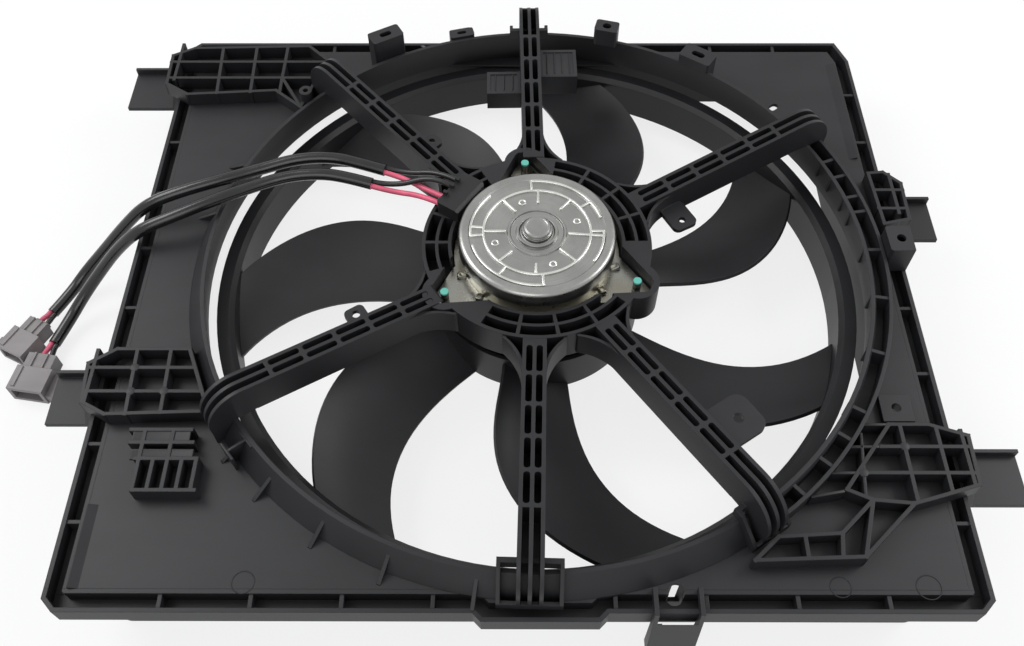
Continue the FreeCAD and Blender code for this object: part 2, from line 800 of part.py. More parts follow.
def make_harness_clip():
    """Comb-like harness clip on the deck beside the near left pad."""
    low, high = deck_top, deck_top + pad_rise
    rows = [((30, 101), (64, 101)), ((31, 93), (66, 93)), ((36, 83), (68, 83)), ((38, 64), (72, 64))]
    posts = [((x, 83), (x, 64)) for x in (38, 46, 54, 62, 70)]
    uprights = [((38, 101), (38, 83)), ((54, 101), (54, 83))]
    runs = [from_corner(run, (panel_left, panel_near)) for run in rows + posts + uprights]
    return fused(rib_net(runs, low, high))


def make_strut_clips():
    """Two open clip boxes on the sides of the far strut."""
    angle = strut_angles[0] - 90
    half = strut_width / 2
    specs = {"strut_clip_left": (-half - 24.0, -half, 137.0, 159.0, 62.0, 76.0),
             "strut_clip_right": (half, half + 26.0, 149.0, 177.0, 64.0, 80.0)}
    for name, (x0, x1, y0, y1, low, high) in specs.items():
        box = Part.makeBox(x1 - x0, y1 - y0, high - low, at(x0, y0, low))
        hollow = Part.makeBox(x1 - x0 - 5, y1 - y0 - 5, high - low, at(x0 + 2.5, y0 + 2.5, low + 3))
        middle = Part.makeBox(2.2, y1 - y0, high - low - 3, at((x0 + x1) / 2, y0, low))
        clip = fused([box.cut(hollow), middle])
        yield name, turned(clip, angle)


# Motor

def make_can():
    top = cap_top - 7
    flange = tube_ring(can_radius - 0.5, can_radius + 3.0, ear_seat - 6, ear_seat - 3.5)
    wall = disc(can_radius, can_bottom, top)
    wall = wall.cut(disc(can_radius - can_skin, can_bottom + can_skin, top + 1))
    boss = disc(bearing_outer + 2, can_bottom - 3, can_bottom + 5)
    body = fused([wall, flange, boss])
    body = body.cut(disc(bearing_outer, can_bottom - 1, can_bottom + 6))
    body = body.cut(disc(shaft_radius + 1.0, can_bottom - 4, can_bottom + 6))
    body = rounded(body, 3.0, lambda edge: is_rim(edge, can_radius, can_bottom))
    return body


def is_rim(edge, radius, height):
    circle = isinstance(edge.Curve, Part.Circle) and abs(edge.Curve.Radius - radius) < 1e-6
    return circle and abs(edge.Curve.Center.z - height) < 1e-6


def make_end_cap():
    low = cap_top - cap_skirt
    gap = 0.05
    body = disc(cap_radius, low, cap_top)
    body = rounded(body, 3.2, lambda edge: is_rim(edge, cap_radius, cap_top))
    body = body.cut(disc(can_radius + gap, low - 1, cap_top - 7))
    body = body.cut(disc(can_radius - can_skin - 1, low - 1, cap_top - cap_skin))
    boss_radius = bearing_outer + 1.2
    raised = disc(boss_radius, cap_top - 4, cap_top + 4.5)
    raised = rounded(raised, 1.6, lambda edge: is_rim(edge, boss_radius, cap_top + 4.5))
    step = disc(boss_radius + 5, cap_top - 1, cap_top + 0.9)
    body = fused([body, step, raised])
    return body.cut(disc(bearing_outer, cap_top - 8, cap_top + 2.6))


def make_flange():
    collar = tube_ring(can_radius + 0.05, can_radius + 5.0, ear_seat, ear_seat + ear_skin)
    ear = prism(ear_outline(0), ear_seat, ear_seat + ear_skin)
    shapes = [collar] + [turned(ear, angle) for angle in ear_angles]
    plate = fused(shapes).cut(disc(can_radius + 0.05, ear_seat - 1, ear_seat + 5))
    hole = disc(screw_radius + 0.05, ear_seat - 1, ear_seat + 5, stud_circle)
    for angle in ear_angles:
        plate = plate.cut(turned(hole, angle))
    return plate


def make_screws():
    low = ring_bottom
    shank = disc(screw_radius, low - 1, ring_top, stud_circle)
    head = disc(screw_head_radius, low - screw_head_height, low, stud_circle)
    collar = disc(screw_head_radius + 1.4, low - 0.9, low, stud_circle)
    screw = fused([shank, head, collar])
    drive = prism([polar(2.6, 60 * k)[:2] for k in range(6)], low - screw_head_height - 1, low - 1.4)
    screw = screw.cut(moved(drive, stud_circle, 0))
    return Part.makeCompound([turned(screw, angle) for angle in ear_angles])


def make_magnets():
    outer = can_radius - can_skin
    low = can_bottom + 8
    magnet = sector(outer - magnet_thick, outer, -38, 38, low, low + core_height + 4)
    return Part.makeCompound([turned(magnet, 45 + 90 * k) for k in range(4)])


core_low = can_bottom + 10.0
core_radius = can_radius - can_skin - magnet_thick - air_gap


def make_core():
    body = disc(core_radius, core_low, core_low + core_height)
    slot = Part.makeBox(9.0, 7.0, core_height + 2, at(core_radius - 12, -3.5, core_low - 1))
    mouth = Part.makeBox(6.0, 2.4, core_height + 2, at(core_radius - 4, -1.2, core_low - 1))
    for number in range(core_slots):
        body = body.cut(turned(slot.fuse(mouth), number * 360 / core_slots))
    return body.cut(disc(shaft_radius, core_low - 1, core_low + core_height + 1))


def make_windings():
    inner, outer = core_radius - 19, core_radius - 2.5
    low = turned_profile([(inner, core_low), (inner, core_low - 4), (inner + 2, core_low - 6),
                          (outer - 2, core_low - 6), (outer, core_low - 4), (outer, core_low)])
    high = core_low + core_height
    top = turned_profile([(inner, high), (outer, high), (outer, high + 4), (outer - 2, high + 6),
                          (inner + 2, high + 6), (inner, high + 4)])
    return Part.makeCompound([low, top])


commutator_low = core_low + core_height + 0.5
commutator_height = 15.5
brush_level = commutator_low + 6.5


def make_commutator():
    body = tube_ring(shaft_radius, commutator_radius, commutator_low, commutator_low + commutator_height)
    corner = at(commutator_radius - 1, -0.3, commutator_low + 2)
    groove = Part.makeBox(2, 0.6, commutator_height - 2, corner)
    for number in range(core_slots):
        body = body.cut(turned(groove, number * 360 / core_slots))
    return body


shaft_low = hub_bottom - 8.0
shaft_high = cap_top + 1.5
bearing_top_low = cap_top - 3.6


def make_shaft():
    return disc(shaft_radius, shaft_low, shaft_high)


def make_bearing(low):
    return tube_ring(shaft_radius + running_gap, bearing_outer, low, low + bearing_length)


def make_brush_card():
    outer = can_radius - can_skin - 1.5
    return tube_ring(commutator_radius + 3, outer, brush_level, brush_level + 2.0)


def make_brushes():
    low = brush_level + 2.0
    start = commutator_radius + brush_gap
    brush = Part.makeBox(13, 6, 5.0, at(start - 2, -3, low)).cut(disc(start, low - 1, low + 6))
    return Part.makeCompound([turned(brush, 45 + 90 * k) for k in range(4)])


def make_brush_holders():
    low = brush_level + 2.0
    start = commutator_radius + brush_gap + 3
    tube = Part.makeBox(18, 9, 6.5, at(start, -4.5, low))
    tube = tube.cut(Part.makeBox(17, 6, 5.0, at(start - 1, -3, low)))
    return Part.makeCompound([turned(tube, 45 + 90 * k) for k in range(4)])


def make_brush_springs():
    low = brush_level + 4.5
    start = commutator_radius + brush_gap - 2 + 13
    spring = Part.makeCylinder(2.1, 5.0, at(start, 0, low), Vector(1, 0, 0))
    spring = spring.cut(Part.makeCylinder(1.3, 5.0, at(start, 0, low), Vector(1, 0, 0)))
    return Part.makeCompound([turned(spring, 45 + 90 * k) for k in range(4)])


# Fan

def make_hub():
    top = hub_bottom + hub_height
    cup = disc(hub_radius, hub_bottom, top)
    cup = cup.cut(disc(hub_radius - hub_skin, hub_bottom + hub_skin + 0.5, top + 1))
    cup = rounded(cup, 3.0, lambda edge: is_rim(edge, hub_radius, hub_bottom))
    boss = disc(hub_boss_radius, hub_bottom, hub_bottom + hub_boss_height)
    rib = Part.makeBox(hub_radius - hub_boss_radius, rib_skin, 9.0,
                       at(hub_boss_radius - 1, -rib_skin / 2, hub_bottom + 1))
    ribs = [turned(rib, (number + 0.5) * 360 / blade_count) for number in range(blade_count)]
    body = fused([cup, boss] + ribs)
    nut_well = disc(8.0, hub_bottom - 1, hub_bottom + 4.0)
    body = body.cut(nut_well)
    return body.cut(disc(shaft_radius, hub_bottom - 1, hub_bottom + hub_boss_height + 1))


def blade_point(station, share):
    span, trail, lead, high, low = station
    r = (hub_radius - 4) + span * (fan_ring_bore + 4 - hub_radius + 4)
    angle = trail + share * (lead - trail)
    z = high + share * (low - high) - blade_camber * math.sin(math.pi * share)
    return polar(r, angle, z)


def make_blades():
    shares = [number / 4 for number in range(5)]
    grid = [[blade_point(station, share) for share in shares] for station in blade_stations]
    surface = Part.BSplineSurface()
    surface.interpolate(grid)
    blade = surface.toShape().makeOffsetShape(-blade_skin, 0.01, fill=True)
    blade = Part.Solid(blade) if blade.ShapeType == "Shell" else blade
    room = tube_ring(hub_radius, fan_ring_bore, 0, 80)
    blade = blade.common(room)
    return Part.makeCompound([turned(blade, number * 360 / blade_count) for number in range(blade_count)])


def make_fan_ring():
    inner, outer = fan_ring_bore, fan_ring_outer
    bend = 3.0
    return turned_profile([
        (inner, fan_bottom), (inner + fan_ring_wall, fan_bottom),
        (inner + fan_ring_wall, fan_top - fan_ring_wall - bend),
        (inner + fan_ring_wall + bend, fan_top - fan_ring_wall), (outer, fan_top - fan_ring_wall),
        (outer, fan_top), (inner + bend, fan_top), (inner, fan_top - bend),
    ])


def make_nut():
    low = hub_bottom + 4.0 - nut_height
    nut = prism([tuple(polar(6.5, 60 * k))[:2] for k in range(6)], low, low + nut_height)
    return nut.cut(disc(shaft_radius, low - 1, low + nut_height + 1))


# Leads

def bend_radius(before, here, after):
    run_in, run_out = here - before, after - here
    turn = run_in.getAngle(run_out)
    return 0.45 * min(run_in.Length, run_out.Length) / math.tan(turn / 2)


def route_wire(points):
    edges = []
    last = points[0]
    for before, here, after in zip(points, points[1:], points[2:]):
        run_in, run_out = (here - before), (after - here)
        turn = run_in.getAngle(run_out)
        back = 0.45 * min(run_in.Length, run_out.Length)
        radius = back / math.tan(turn / 2)
        way_in, way_out = Vector(run_in).normalize(), Vector(run_out).normalize()
        start, end = here - way_in * back, here + way_out * back
        inward = (way_out - way_in).normalize()
        middle = here + inward * (radius / math.cos(turn / 2) - radius)
        edges.append(Part.LineSegment(last, start).toShape())
        edges.append(Part.Arc(start, middle, end).toShape())
        last = end
    edges.append(Part.LineSegment(last, points[-1]).toShape())
    return Part.Wire(edges)


def cord_tube(name, points, radius):
    path = route_wire(points)
    way = (points[1] - points[0]).normalize()
    section = Part.Wire([Part.Circle(points[0], way, radius).toShape()])
    tube = path.makePipeShell([section], True, False)
    turns = [bend_radius(*three) for three in zip(points, points[1:], points[2:])]
    share = tube.Volume / (math.pi * radius ** 2 * path.Length)
    print("%-20s length %.0f  tightest arc %.0f  volume over section x length %.3f"
          % (name, path.Length, min(turns) if turns else 0, share))
    return tube


sleeve_routes = {
    "a": [(-99, 61, 79), (-116, 66, 80.5), (-134, 70.5, 81.5), (-158, 72, 81), (-186, 70, 79.5),
          (-213, 65, 79), (-238, 60, 76), (-262, 52, 69), (-279.5, 45, 50), (-295, 36.5, 31),
          (-309.5, 25.5, 15), (-320, 13, 7.5), (-328.5, -3.5, 7)],
    "b": [(-107, 50, 78), (-122, 54, 79.5), (-140, 57, 80.5), (-163, 58, 80.5), (-189, 55, 80),
          (-215, 48, 78.5), (-240, 38, 74.5), (-263, 28, 68), (-279, 20.5, 50), (-293, 13, 31.5),
          (-305, 3.5, 16), (-315.5, -10.5, 7.5), (-321, -28.5, 7)],
}
# each bare wire from the motor's block to its sleeve
wire_routes = {
    "black_a": [(-49.8, 44.5, 86.5), (-61.7, 52.5, 86.8), (-86, 59.2, 77.9), (-98.5, 62.8, 79)],
    "black_b": [(-53.2, 39.5, 86.5), (-65.4, 47.8, 88.5), (-92.1, 48, 77.5), (-106.5, 51.8, 78)],
    "red_a": [(-57.1, 33.7, 82.6), (-69.4, 42, 80.4), (-87.1, 55.5, 77.9), (-99.5, 59.2, 79)],
    "red_b": [(-60.4, 28.7, 82.6), (-72.7, 37, 81.2), (-94, 44.6, 76.6), (-107.5, 48.2, 78)],
}
# each connector's back face centre on the floor, the way it points, and its half widths
connector_places = {
    "a": ((-333.5, -13.0), (-45.0, -89.3), 7.3, 10.4),
    "b": ((-323.5, -40.0), (-16.0, -98.7), 9.4, 12.0),
}

def beside(place, way, side, spread):
    across = Vector(way.y, -way.x, 0).normalize()
    return place + across * (side * spread)


def tail_points(key, side):
    """Route of one wire from the end of its sleeve into the back of its connector."""
    sleeve = as_points(sleeve_routes[key])
    out = Vector(sleeve[-1] - sleeve[-2]).normalize()
    place, way = connector_places[key][:2]
    into = Vector(way[0], way[1], 0).normalize()
    first = beside(sleeve[-1], out, side, sleeve_spread)
    last = beside(at(place[0], place[1], wire_height), into, side, wire_spread)
    return [first, first + out * tail_lead, last - into * tail_lead, last]


def facing(shape, key):
    place, way = connector_places[key][:2]
    return moved(turned(shape, math.degrees(math.atan2(way[1], way[0]))), *place)


def make_connector(key):
    """Two-way socket housing lying on the floor; its back faces the wires."""
    collar_half, half = connector_places[key][2:]
    high = connector_height
    shapes = [
        Part.makeBox(collar_length + 1, 2 * collar_half, high - 2.5, at(0, -collar_half, 1.2)),
        Part.makeBox(connector_length - collar_length, 2 * half, high, at(collar_length, -half, 0)),
    ]
    for y in (-collar_half * 0.45, collar_half * 0.4):
        shapes.append(Part.makeBox(connector_length - 2, 1.4, 1.2, at(0, y - 0.7, high - 1.4)))
    ledge = connector_length - collar_length - 3
    shapes.append(Part.makeBox(ledge, 2.2, 1.4, at(collar_length + 1, 2.5 - half, high - 0.5)))
    if key == "a":
        shapes.append(Part.makeBox(6.0, 4.0, 7.0, at(connector_length - 8, -half - 3.5, 4)))
    else:
        shapes.append(Part.makeBox(connector_length - collar_length - 1, wing_width, wing_height,
                                   at(collar_length, half - 0.5, 0)))
    body = fused(shapes)
    socket = Part.makeBox(20, 2 * half - 5, high - 5, at(socket_start, 2.5 - half, 2.5))
    way = Vector(1, 0, 0)
    holes = [Part.makeCylinder(wire_radius + 0.2, 6, at(-1, side * wire_spread, wire_height), way)
             for side in (-1, 1)]
    return facing(body.cut(socket).cut(Part.makeCompound(holes)), key)


def make_terminals():
    pins = []
    for key in connector_places:
        for side in (-1, 1):
            corner = at(socket_start, side * wire_spread - 1.1, wire_height - 0.4)
            pins.append(facing(Part.makeBox(pin_length, 2.2, 0.8, corner), key))
    return Part.makeCompound(pins)


def make_seals():
    seals = []
    way = Vector(1, 0, 0)
    for key in connector_places:
        for side in (-1, 1):
            middle = at(-1.6, side * wire_spread, wire_height)
            seal = Part.makeCylinder(wire_radius + 1.4, 1.6, middle, way)
            seals.append(facing(seal.cut(Part.makeCylinder(wire_radius + 0.15, 1.6, middle, way)), key))
    return Part.makeCompound(seals)


def make_wire_block():
    """Moulded block on the motor ring that the four wires come out of."""
    top = ring_top + block_height
    block = Part.makeBox(block_depth, 2 * block_half, block_height, at(block_inner, -block_half, ring_top))
    near = block_inner - 1
    slope = side_profile([(near, top - 3), (near, top + 2), (near + 5, top + 2)], 4 * block_half)
    ribs = [Part.makeBox(3.0, 2.0, block_height - 5, at(block_outer - 3, y, ring_top + 8))
            for y in (-7.2, -1.2, 5.8)]
    block = fused([block.cut(slope)] + ribs)
    return turned(rounded(block, 1.5, lambda edge: is_upright(edge) and edge.Length > 6), block_angle)


def as_points(route):
    return [at(*point) for point in route]


# Run

os.makedirs("parts", exist_ok=True)

save("shroud_deck", make_deck())
save("shroud_rail", make_rail())
save("shroud_skirt", make_skirt())
save("shroud_barrel", make_barrel())
save("motor_ring", make_motor_ring())
for number, strut in make_struts():
    save("strut_%d" % number, strut)
for name, pad in pads.items():
    save(name, make_pad(*pad))
for name, clip in make_clips():
    save(name, clip)
save("hanger_near", make_bottom_bracket())
save("harness_clip", make_harness_clip())
for name, clip in make_strut_clips():
    save(name, clip)
save("motor_can", make_can())
save("motor_end_cap", make_end_cap())
save("motor_flange", make_flange())
save("motor_screws", make_screws())
save("magnets", make_magnets())
save("armature_core", make_core())
save("armature_windings", make_windings())
save("commutator", make_commutator())
save("motor_shaft", make_shaft())
save("front_bearing", make_bearing(can_bottom - 1.0))
save("rear_bearing", make_bearing(bearing_top_low))
save("brush_card", make_brush_card())
save("brushes", make_brushes())
save("brush_holders", make_brush_holders())
save("brush_springs", make_brush_springs())
save("fan_hub", make_hub())
save("fan_blades", make_blades())
save("fan_ring", make_fan_ring())
save("fan_nut", make_nut())
save("wire_block", make_wire_block())
for key, route in sleeve_routes.items():
    save("lead_sleeve_" + key, cord_tube("lead_sleeve_" + key, as_points(route), sleeve_radius))
for key, route in wire_routes.items():
    save("wire_" + key, cord_tube("wire_" + key, as_points(route), wire_radius))
for key in connector_places:
    for colour, side in (("red", 1), ("black", -1)):
        name = "tail_%s_%s" % (colour, key)
        save(name, cord_tube(name, tail_points(key, side), wire_radius))
for key in connector_places:
    save("connector_" + key, make_connector(key))
save("terminals", make_terminals())
save("wire_seals", make_seals())
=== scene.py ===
import json
import math

import bpy
from mathutils import Matrix, Vector


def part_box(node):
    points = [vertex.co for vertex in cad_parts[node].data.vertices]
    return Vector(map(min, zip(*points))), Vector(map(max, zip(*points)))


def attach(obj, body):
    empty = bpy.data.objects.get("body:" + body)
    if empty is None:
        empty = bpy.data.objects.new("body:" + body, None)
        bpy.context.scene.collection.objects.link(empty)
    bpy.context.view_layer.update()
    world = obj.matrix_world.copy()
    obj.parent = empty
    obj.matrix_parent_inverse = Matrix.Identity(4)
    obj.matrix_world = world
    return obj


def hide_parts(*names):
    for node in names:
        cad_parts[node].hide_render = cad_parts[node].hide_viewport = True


bl_info = {
    "name": "Radiator fan looks",
    "version": (1, 0, 0),
    "blender": (4, 5, 0),
    "location": "View3D > Sidebar > Radiator fan",
    "description": "Dresses the radiator fan: motor cap, leads, connectors, finishes, light and camera",
    "category": "Object",
}

# Sizes and places are in metres from the model's origin, and angles are in degrees unless named otherwise

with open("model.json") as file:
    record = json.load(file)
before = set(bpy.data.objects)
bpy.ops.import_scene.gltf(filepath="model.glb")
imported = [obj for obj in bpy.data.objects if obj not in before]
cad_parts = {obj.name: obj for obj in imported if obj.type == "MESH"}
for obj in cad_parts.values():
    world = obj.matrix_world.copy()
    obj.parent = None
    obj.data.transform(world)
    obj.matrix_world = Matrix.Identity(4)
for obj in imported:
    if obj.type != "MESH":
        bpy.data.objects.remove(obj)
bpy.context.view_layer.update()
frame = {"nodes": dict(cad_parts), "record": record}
# The fan's axis is upright
AXIS_X, AXIS_Y = 0.0125, 0.010
STUD_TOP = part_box("motor_screws")[1][2]
# The deck's flat top is level with the rail's, and a boss on the deck stands higher
DECK_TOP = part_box("shroud_rail")[1][2]

# The camera that took the photograph, its lens and sensor in millimetres
CAMERA_PLACE = (-0.0005, -0.3775, 0.5629)
CAMERA_ELEVATION, CAMERA_YAW, CAMERA_ROLL = 55.92, 0.39, -0.26
CAMERA_LENS, CAMERA_SENSOR = 34.875, 36.0
CAMERA_NEAR, CAMERA_FAR = 0.01, 20

# The leads' routes along the sleeves, and from the block on the motor ring to the sleeves
SLEEVE_ROUTES = {
    "a": ((-0.0865, 0.071, 0.079), (-0.1035, 0.076, 0.0805), (-0.1215, 0.0805, 0.0815),
          (-0.1455, 0.0805, 0.080), (-0.1715, 0.0735, 0.0765), (-0.196, 0.0640, 0.0765),
          (-0.220, 0.0565, 0.0745), (-0.243, 0.0500, 0.0690), (-0.263, 0.0455, 0.0505),
          (-0.2815, 0.0420, 0.0305), (-0.2975, 0.0355, 0.0155), (-0.3075, 0.023, 0.0075),
          (-0.316, 0.0065, 0.007)),
    "b": ((-0.0945, 0.060, 0.078), (-0.1095, 0.064, 0.0795), (-0.1275, 0.067, 0.0805),
          (-0.1505, 0.0665, 0.0785), (-0.1745, 0.058, 0.0765), (-0.1965, 0.0465, 0.077),
          (-0.2195, 0.036, 0.0745), (-0.243, 0.0285, 0.069), (-0.2625, 0.027, 0.051),
          (-0.279, 0.023, 0.032), (-0.2935, 0.014, 0.0165), (-0.303, -0.0005, 0.0075),
          (-0.3085, -0.0185, 0.007)),
}
WIRE_ROUTES = {
    "black_a": ((-0.0373, 0.0545, 0.0865), (-0.0492, 0.0625, 0.0868), (-0.0735, 0.0692, 0.0779),
                (-0.086, 0.0728, 0.079)),
    "black_b": ((-0.0407, 0.0495, 0.0865), (-0.0529, 0.0578, 0.0885), (-0.0796, 0.058, 0.0775),
                (-0.094, 0.0618, 0.078)),
    "red_a": ((-0.0446, 0.0437, 0.0826), (-0.0569, 0.052, 0.0804), (-0.0746, 0.0655, 0.0779),
              (-0.087, 0.0692, 0.079)),
    "red_b": ((-0.0479, 0.0387, 0.0826), (-0.0602, 0.047, 0.0812), (-0.0815, 0.0546, 0.0766),
              (-0.095, 0.0582, 0.078)),
}

# The motor cap's section from its rim to its centre button: radius, and height above the cap's face
CAP_RADIUS, CAP_WALL = 0.0488, 0.0016
CAP_PLATE, CAP_PLATE_CREST = -0.0008, -0.0006
CAP_BUTTON = 0.0045
CAP_SECTION = (
    (CAP_RADIUS, -0.0032), (0.0483, -0.0014), (0.0471, -0.0003), (0.0456, 0), (0.0425, -0.0002),
    (0.0419, CAP_PLATE), (0.0330, CAP_PLATE), (0.0270, CAP_PLATE_CREST), (0.0185, -0.0012),
    (0.0180, -0.0003), (0.0168, -0.0003), (0.0162, -0.0012), (0.0132, -0.0014), (0.0126, 0.0002),
    (0.0112, 0.0002), (0.0104, -0.0010), (0.0096, -0.0008), (0.0092, 0.0012), (0.0088, 0.0014),
    (0.0087, 0.0030), (0.0080, CAP_BUTTON - 0.0004), (0.0068, CAP_BUTTON), (0.0060, CAP_BUTTON - 0.0004),
    (0.0020, CAP_BUTTON - 0.0005),
)
# Lines pressed in the cap: where each cell starts and ends, and each spoke's angle and inner end
CAP_CELLS = ((95, 175), (185, 235), (275, 355), (0, 35))
CAP_SPOKES = ((88, 0.0225), (50, 0.0225), (-5, 0.0190), (-45, 0.0190), (-92, 0.0245), (-135, 0.0215),
              (180, 0.0190), (130, 0.0200))
CAP_LINE_ROOT = 0.0010
CAP_LINE_EDGE, CAP_LINE_EDGE_STEPS = 0.0008, 4
# Dimples in the cap: angle and distance from the axis
CAP_DIMPLES = ((111, 0.0250), (18, 0.0260), (199.5, 0.0272), (-69.6, 0.0268))
DIMPLE_RADIUS, DIMPLE_WIRE = 0.0019, 0.0007

# The flange's ears, and the folded crimps on both sides of each
EAR_ANGLES = (96.0, 214.0, 334.0)
CRIMP_SIZE = (0.0060, 0.0042, 0.0030)
CRIMP_AXIS_RADIUS, CRIMP_SIDE_ANGLE, CRIMP_LIFT = 0.0502, 11.5, 0.0011
CRIMP_LEAN_RADIANS, CRIMP_TWIST_RADIANS = -0.35, 0.5
CRIMP_EDGE, CRIMP_EDGE_STEPS = 0.0009, 3

# The mould's marks: rings by x, y and radius, and knobs by x and y
EJECTOR_RINGS = ((-0.1435, -0.199, 0.006), (0.1695, -0.201, 0.0055), (0.2155, -0.201, 0.0065))
EJECTOR_RING_WIRE = 0.00035
RIB_KNOBS = ((0.1905, -0.140), (0.2165, -0.124), (-0.2235, -0.089), (-0.2042, -0.089), (-0.2245, -0.073))
KNOB_RADIUS, KNOB_DEPTH, KNOB_RISE = 0.0027, 0.006, 0.0001
MOULD_EDGE = 0.0004

# Ribs that carry the near right pad on to the channel wall: start and end
PAD_RIBS = (((0.2098, -0.1100), (0.1965, -0.1100)), ((0.2026, -0.1240), (0.1865, -0.1240)),
            ((0.1896, -0.1400), (0.1730, -0.1400)), ((0.1783, -0.1508), (0.1593, -0.1542)),
            ((0.1938, -0.1152), (0.1890, -0.1550)))
PAD_RIB_THICKNESS, PAD_RIB_DROP, PAD_RIB_ROOT = 0.0024, 0.0002, 0.0001
RIB_TAPER = 0.75

# The cable bar at the near left strut's foot, by its angle and its distances from the axis
FOOT_BAR_ANGLE = -141.2
FOOT_BAR_NEAR, FOOT_BAR_FAR = 0.2098, 0.2220
FOOT_BAR_HALF_WIDTH, FOOT_BAR_HEIGHT, FOOT_BAR_THICKNESS = 0.0065, 0.013, 0.0023

# Lids over the far strut's clip boxes, each with a count of thin ribs
BOX_LIDS = (("strut_clip_left", 3), ("strut_clip_right", 4))
BOX_WALL = 0.0014
LID_RIB_NEAR_GAP, LID_RIB_FAR_GAP = 0.004, 0.003
LID_RIB_HEIGHT, LID_RIB_THICKNESS = 0.0012, 0.0009
# Lids over cells of the harness clip: near left and far right corner
HARNESS_LIDS = (((-0.2160, -0.1225), (-0.1835, -0.1135)), ((-0.2150, -0.1325), (-0.1800, -0.1262)))
LID_UNDERSIDE_DROP, BOX_LID_DROP, HARNESS_LID_DROP = 0.0022, 0.0004, 0.0002
LID_RIM, LID_RECESS, LID_EDGE = 0.0010, 0.0003, 0.0002
# The wall that closes the far strut: start, end, foot, top and thickness
STRUT_END = ((0.0022, 0.2219), (0.0154, 0.2219), 0.0645, 0.0888, 0.0020)

# Modelling: sharper edges than this are rounded, faces whose normals rise more than this are tops,
# turned shells have this many sides, and bent bars turn in steps of this many degrees
SHARP_EDGE_RADIANS = 0.6
TOP_NORMAL = 0.9
LATHE_SIDES = 128
ARC_STEP, LEAST_ARC_STEPS = 2.8, 6
MERGE_DISTANCE = 0.00001

# Finishes: the studs' thread, how far down their paint fades and is full, and the nodes' own numbers
THREAD_RADIANS_PER_METRE = 1250.0
PAINT_FADE_DEPTH, PAINT_FULL_DEPTH = 0.0016, 0.0009
WAVE_NODE_FACTOR = 20
BEVEL_NODE_SAMPLES = 4

# The stage. The lamps are given by name, place, width and watts
WHITE = (1, 1, 1)
FLOOR_WIDTH, FLOOR_HEIGHT = 8, -0.0005
FLOOR_COLOUR, FLOOR_ROUGHNESS, FLOOR_GLOW = (0.82, 0.82, 0.82), 0.9, 0.80
LAMPS = (("key", (-1.0, 0.35, 1.15), 0.8, 12.0), ("side", (1.1, 0.25, 0.9), 0.6, 9.0),
         ("front", (-0.3, -1.2, 0.9), 0.9, 5.0))
LAMP_AIM = (0, 0, 0.05)
SKY_COLOUR, SKY_STRENGTH = (0.93, 0.96, 1.0), 0.55


class CapSizes(bpy.types.PropertyGroup):
    bead_width: bpy.props.FloatProperty(
        name="Bead width", description="Width of the pressed lines on the motor cap",
        default=0.0019, unit="LENGTH")
    bead_height: bpy.props.FloatProperty(
        name="Bead height", description="How far the pressed lines stand up",
        default=0.0011, unit="LENGTH")
    outer_line: bpy.props.FloatProperty(
        name="Outer line", description="Radius of the outer pressed line",
        default=0.041, unit="LENGTH")
    inner_line: bpy.props.FloatProperty(
        name="Inner line", description="Radius of the inner pressed line",
        default=0.033, unit="LENGTH")


class LeadSizes(bpy.types.PropertyGroup):
    sleeve_radius: bpy.props.FloatProperty(
        name="Sleeve radius", description="Radius of the leads' black sleeves",
        default=0.004, unit="LENGTH")
    wire_radius: bpy.props.FloatProperty(
        name="Wire radius", description="Radius of each insulated wire",
        default=0.0018, unit="LENGTH")


class LookColours(bpy.types.PropertyGroup):
    shroud: bpy.props.FloatVectorProperty(
        name="Shroud", description="Colour of the moulded shroud",
        subtype="COLOR", default=(0.0125, 0.0125, 0.0142))
    fan: bpy.props.FloatVectorProperty(
        name="Fan", description="Colour of the moulded fan",
        subtype="COLOR", default=(0.0110, 0.0110, 0.0125))
    cap: bpy.props.FloatVectorProperty(
        name="Motor cap", description="Colour of the motor's pressed cap",
        subtype="COLOR", default=(0.30, 0.30, 0.29))
    zinc: bpy.props.FloatVectorProperty(
        name="Zinc", description="Colour of the zinc plated flange",
        subtype="COLOR", default=(0.23, 0.222, 0.185))
    wire_red: bpy.props.FloatVectorProperty(
        name="Red wire", description="Colour of the red insulation",
        subtype="COLOR", default=(0.62, 0.10, 0.17))
    connector: bpy.props.FloatVectorProperty(
        name="Connector", description="Colour of the connector housings",
        subtype="COLOR", default=(0.195, 0.18, 0.18))


class Term:
    """A value on its way through a node tree. Arithmetic on it adds Math nodes."""

    def __init__(self, nodes, socket):
        self.nodes = nodes
        self.socket = socket

    def __add__(self, other):
        return self.nodes.maths("ADD", self, other)

    __radd__ = __add__

    def __sub__(self, other):
        return self.nodes.maths("SUBTRACT", self, other)

    def __rsub__(self, other):
        return self.nodes.maths("SUBTRACT", other, self)

    def __mul__(self, other):
        return self.nodes.maths("MULTIPLY", self, other)

    __rmul__ = __mul__

    def __pow__(self, other):
        return self.nodes.maths("POWER", self, other)

    def clipped(self):
        return self.nodes.term("ShaderNodeClamp", {}, {"Value": self})

    def between(self, low, high):
        """0 below low, 1 above high, smooth between."""
        settings = {"interpolation_type": "SMOOTHSTEP"}
        inputs = {"Value": self, "From Min": low, "From Max": high}
        return self.nodes.term("ShaderNodeMapRange", settings, inputs)


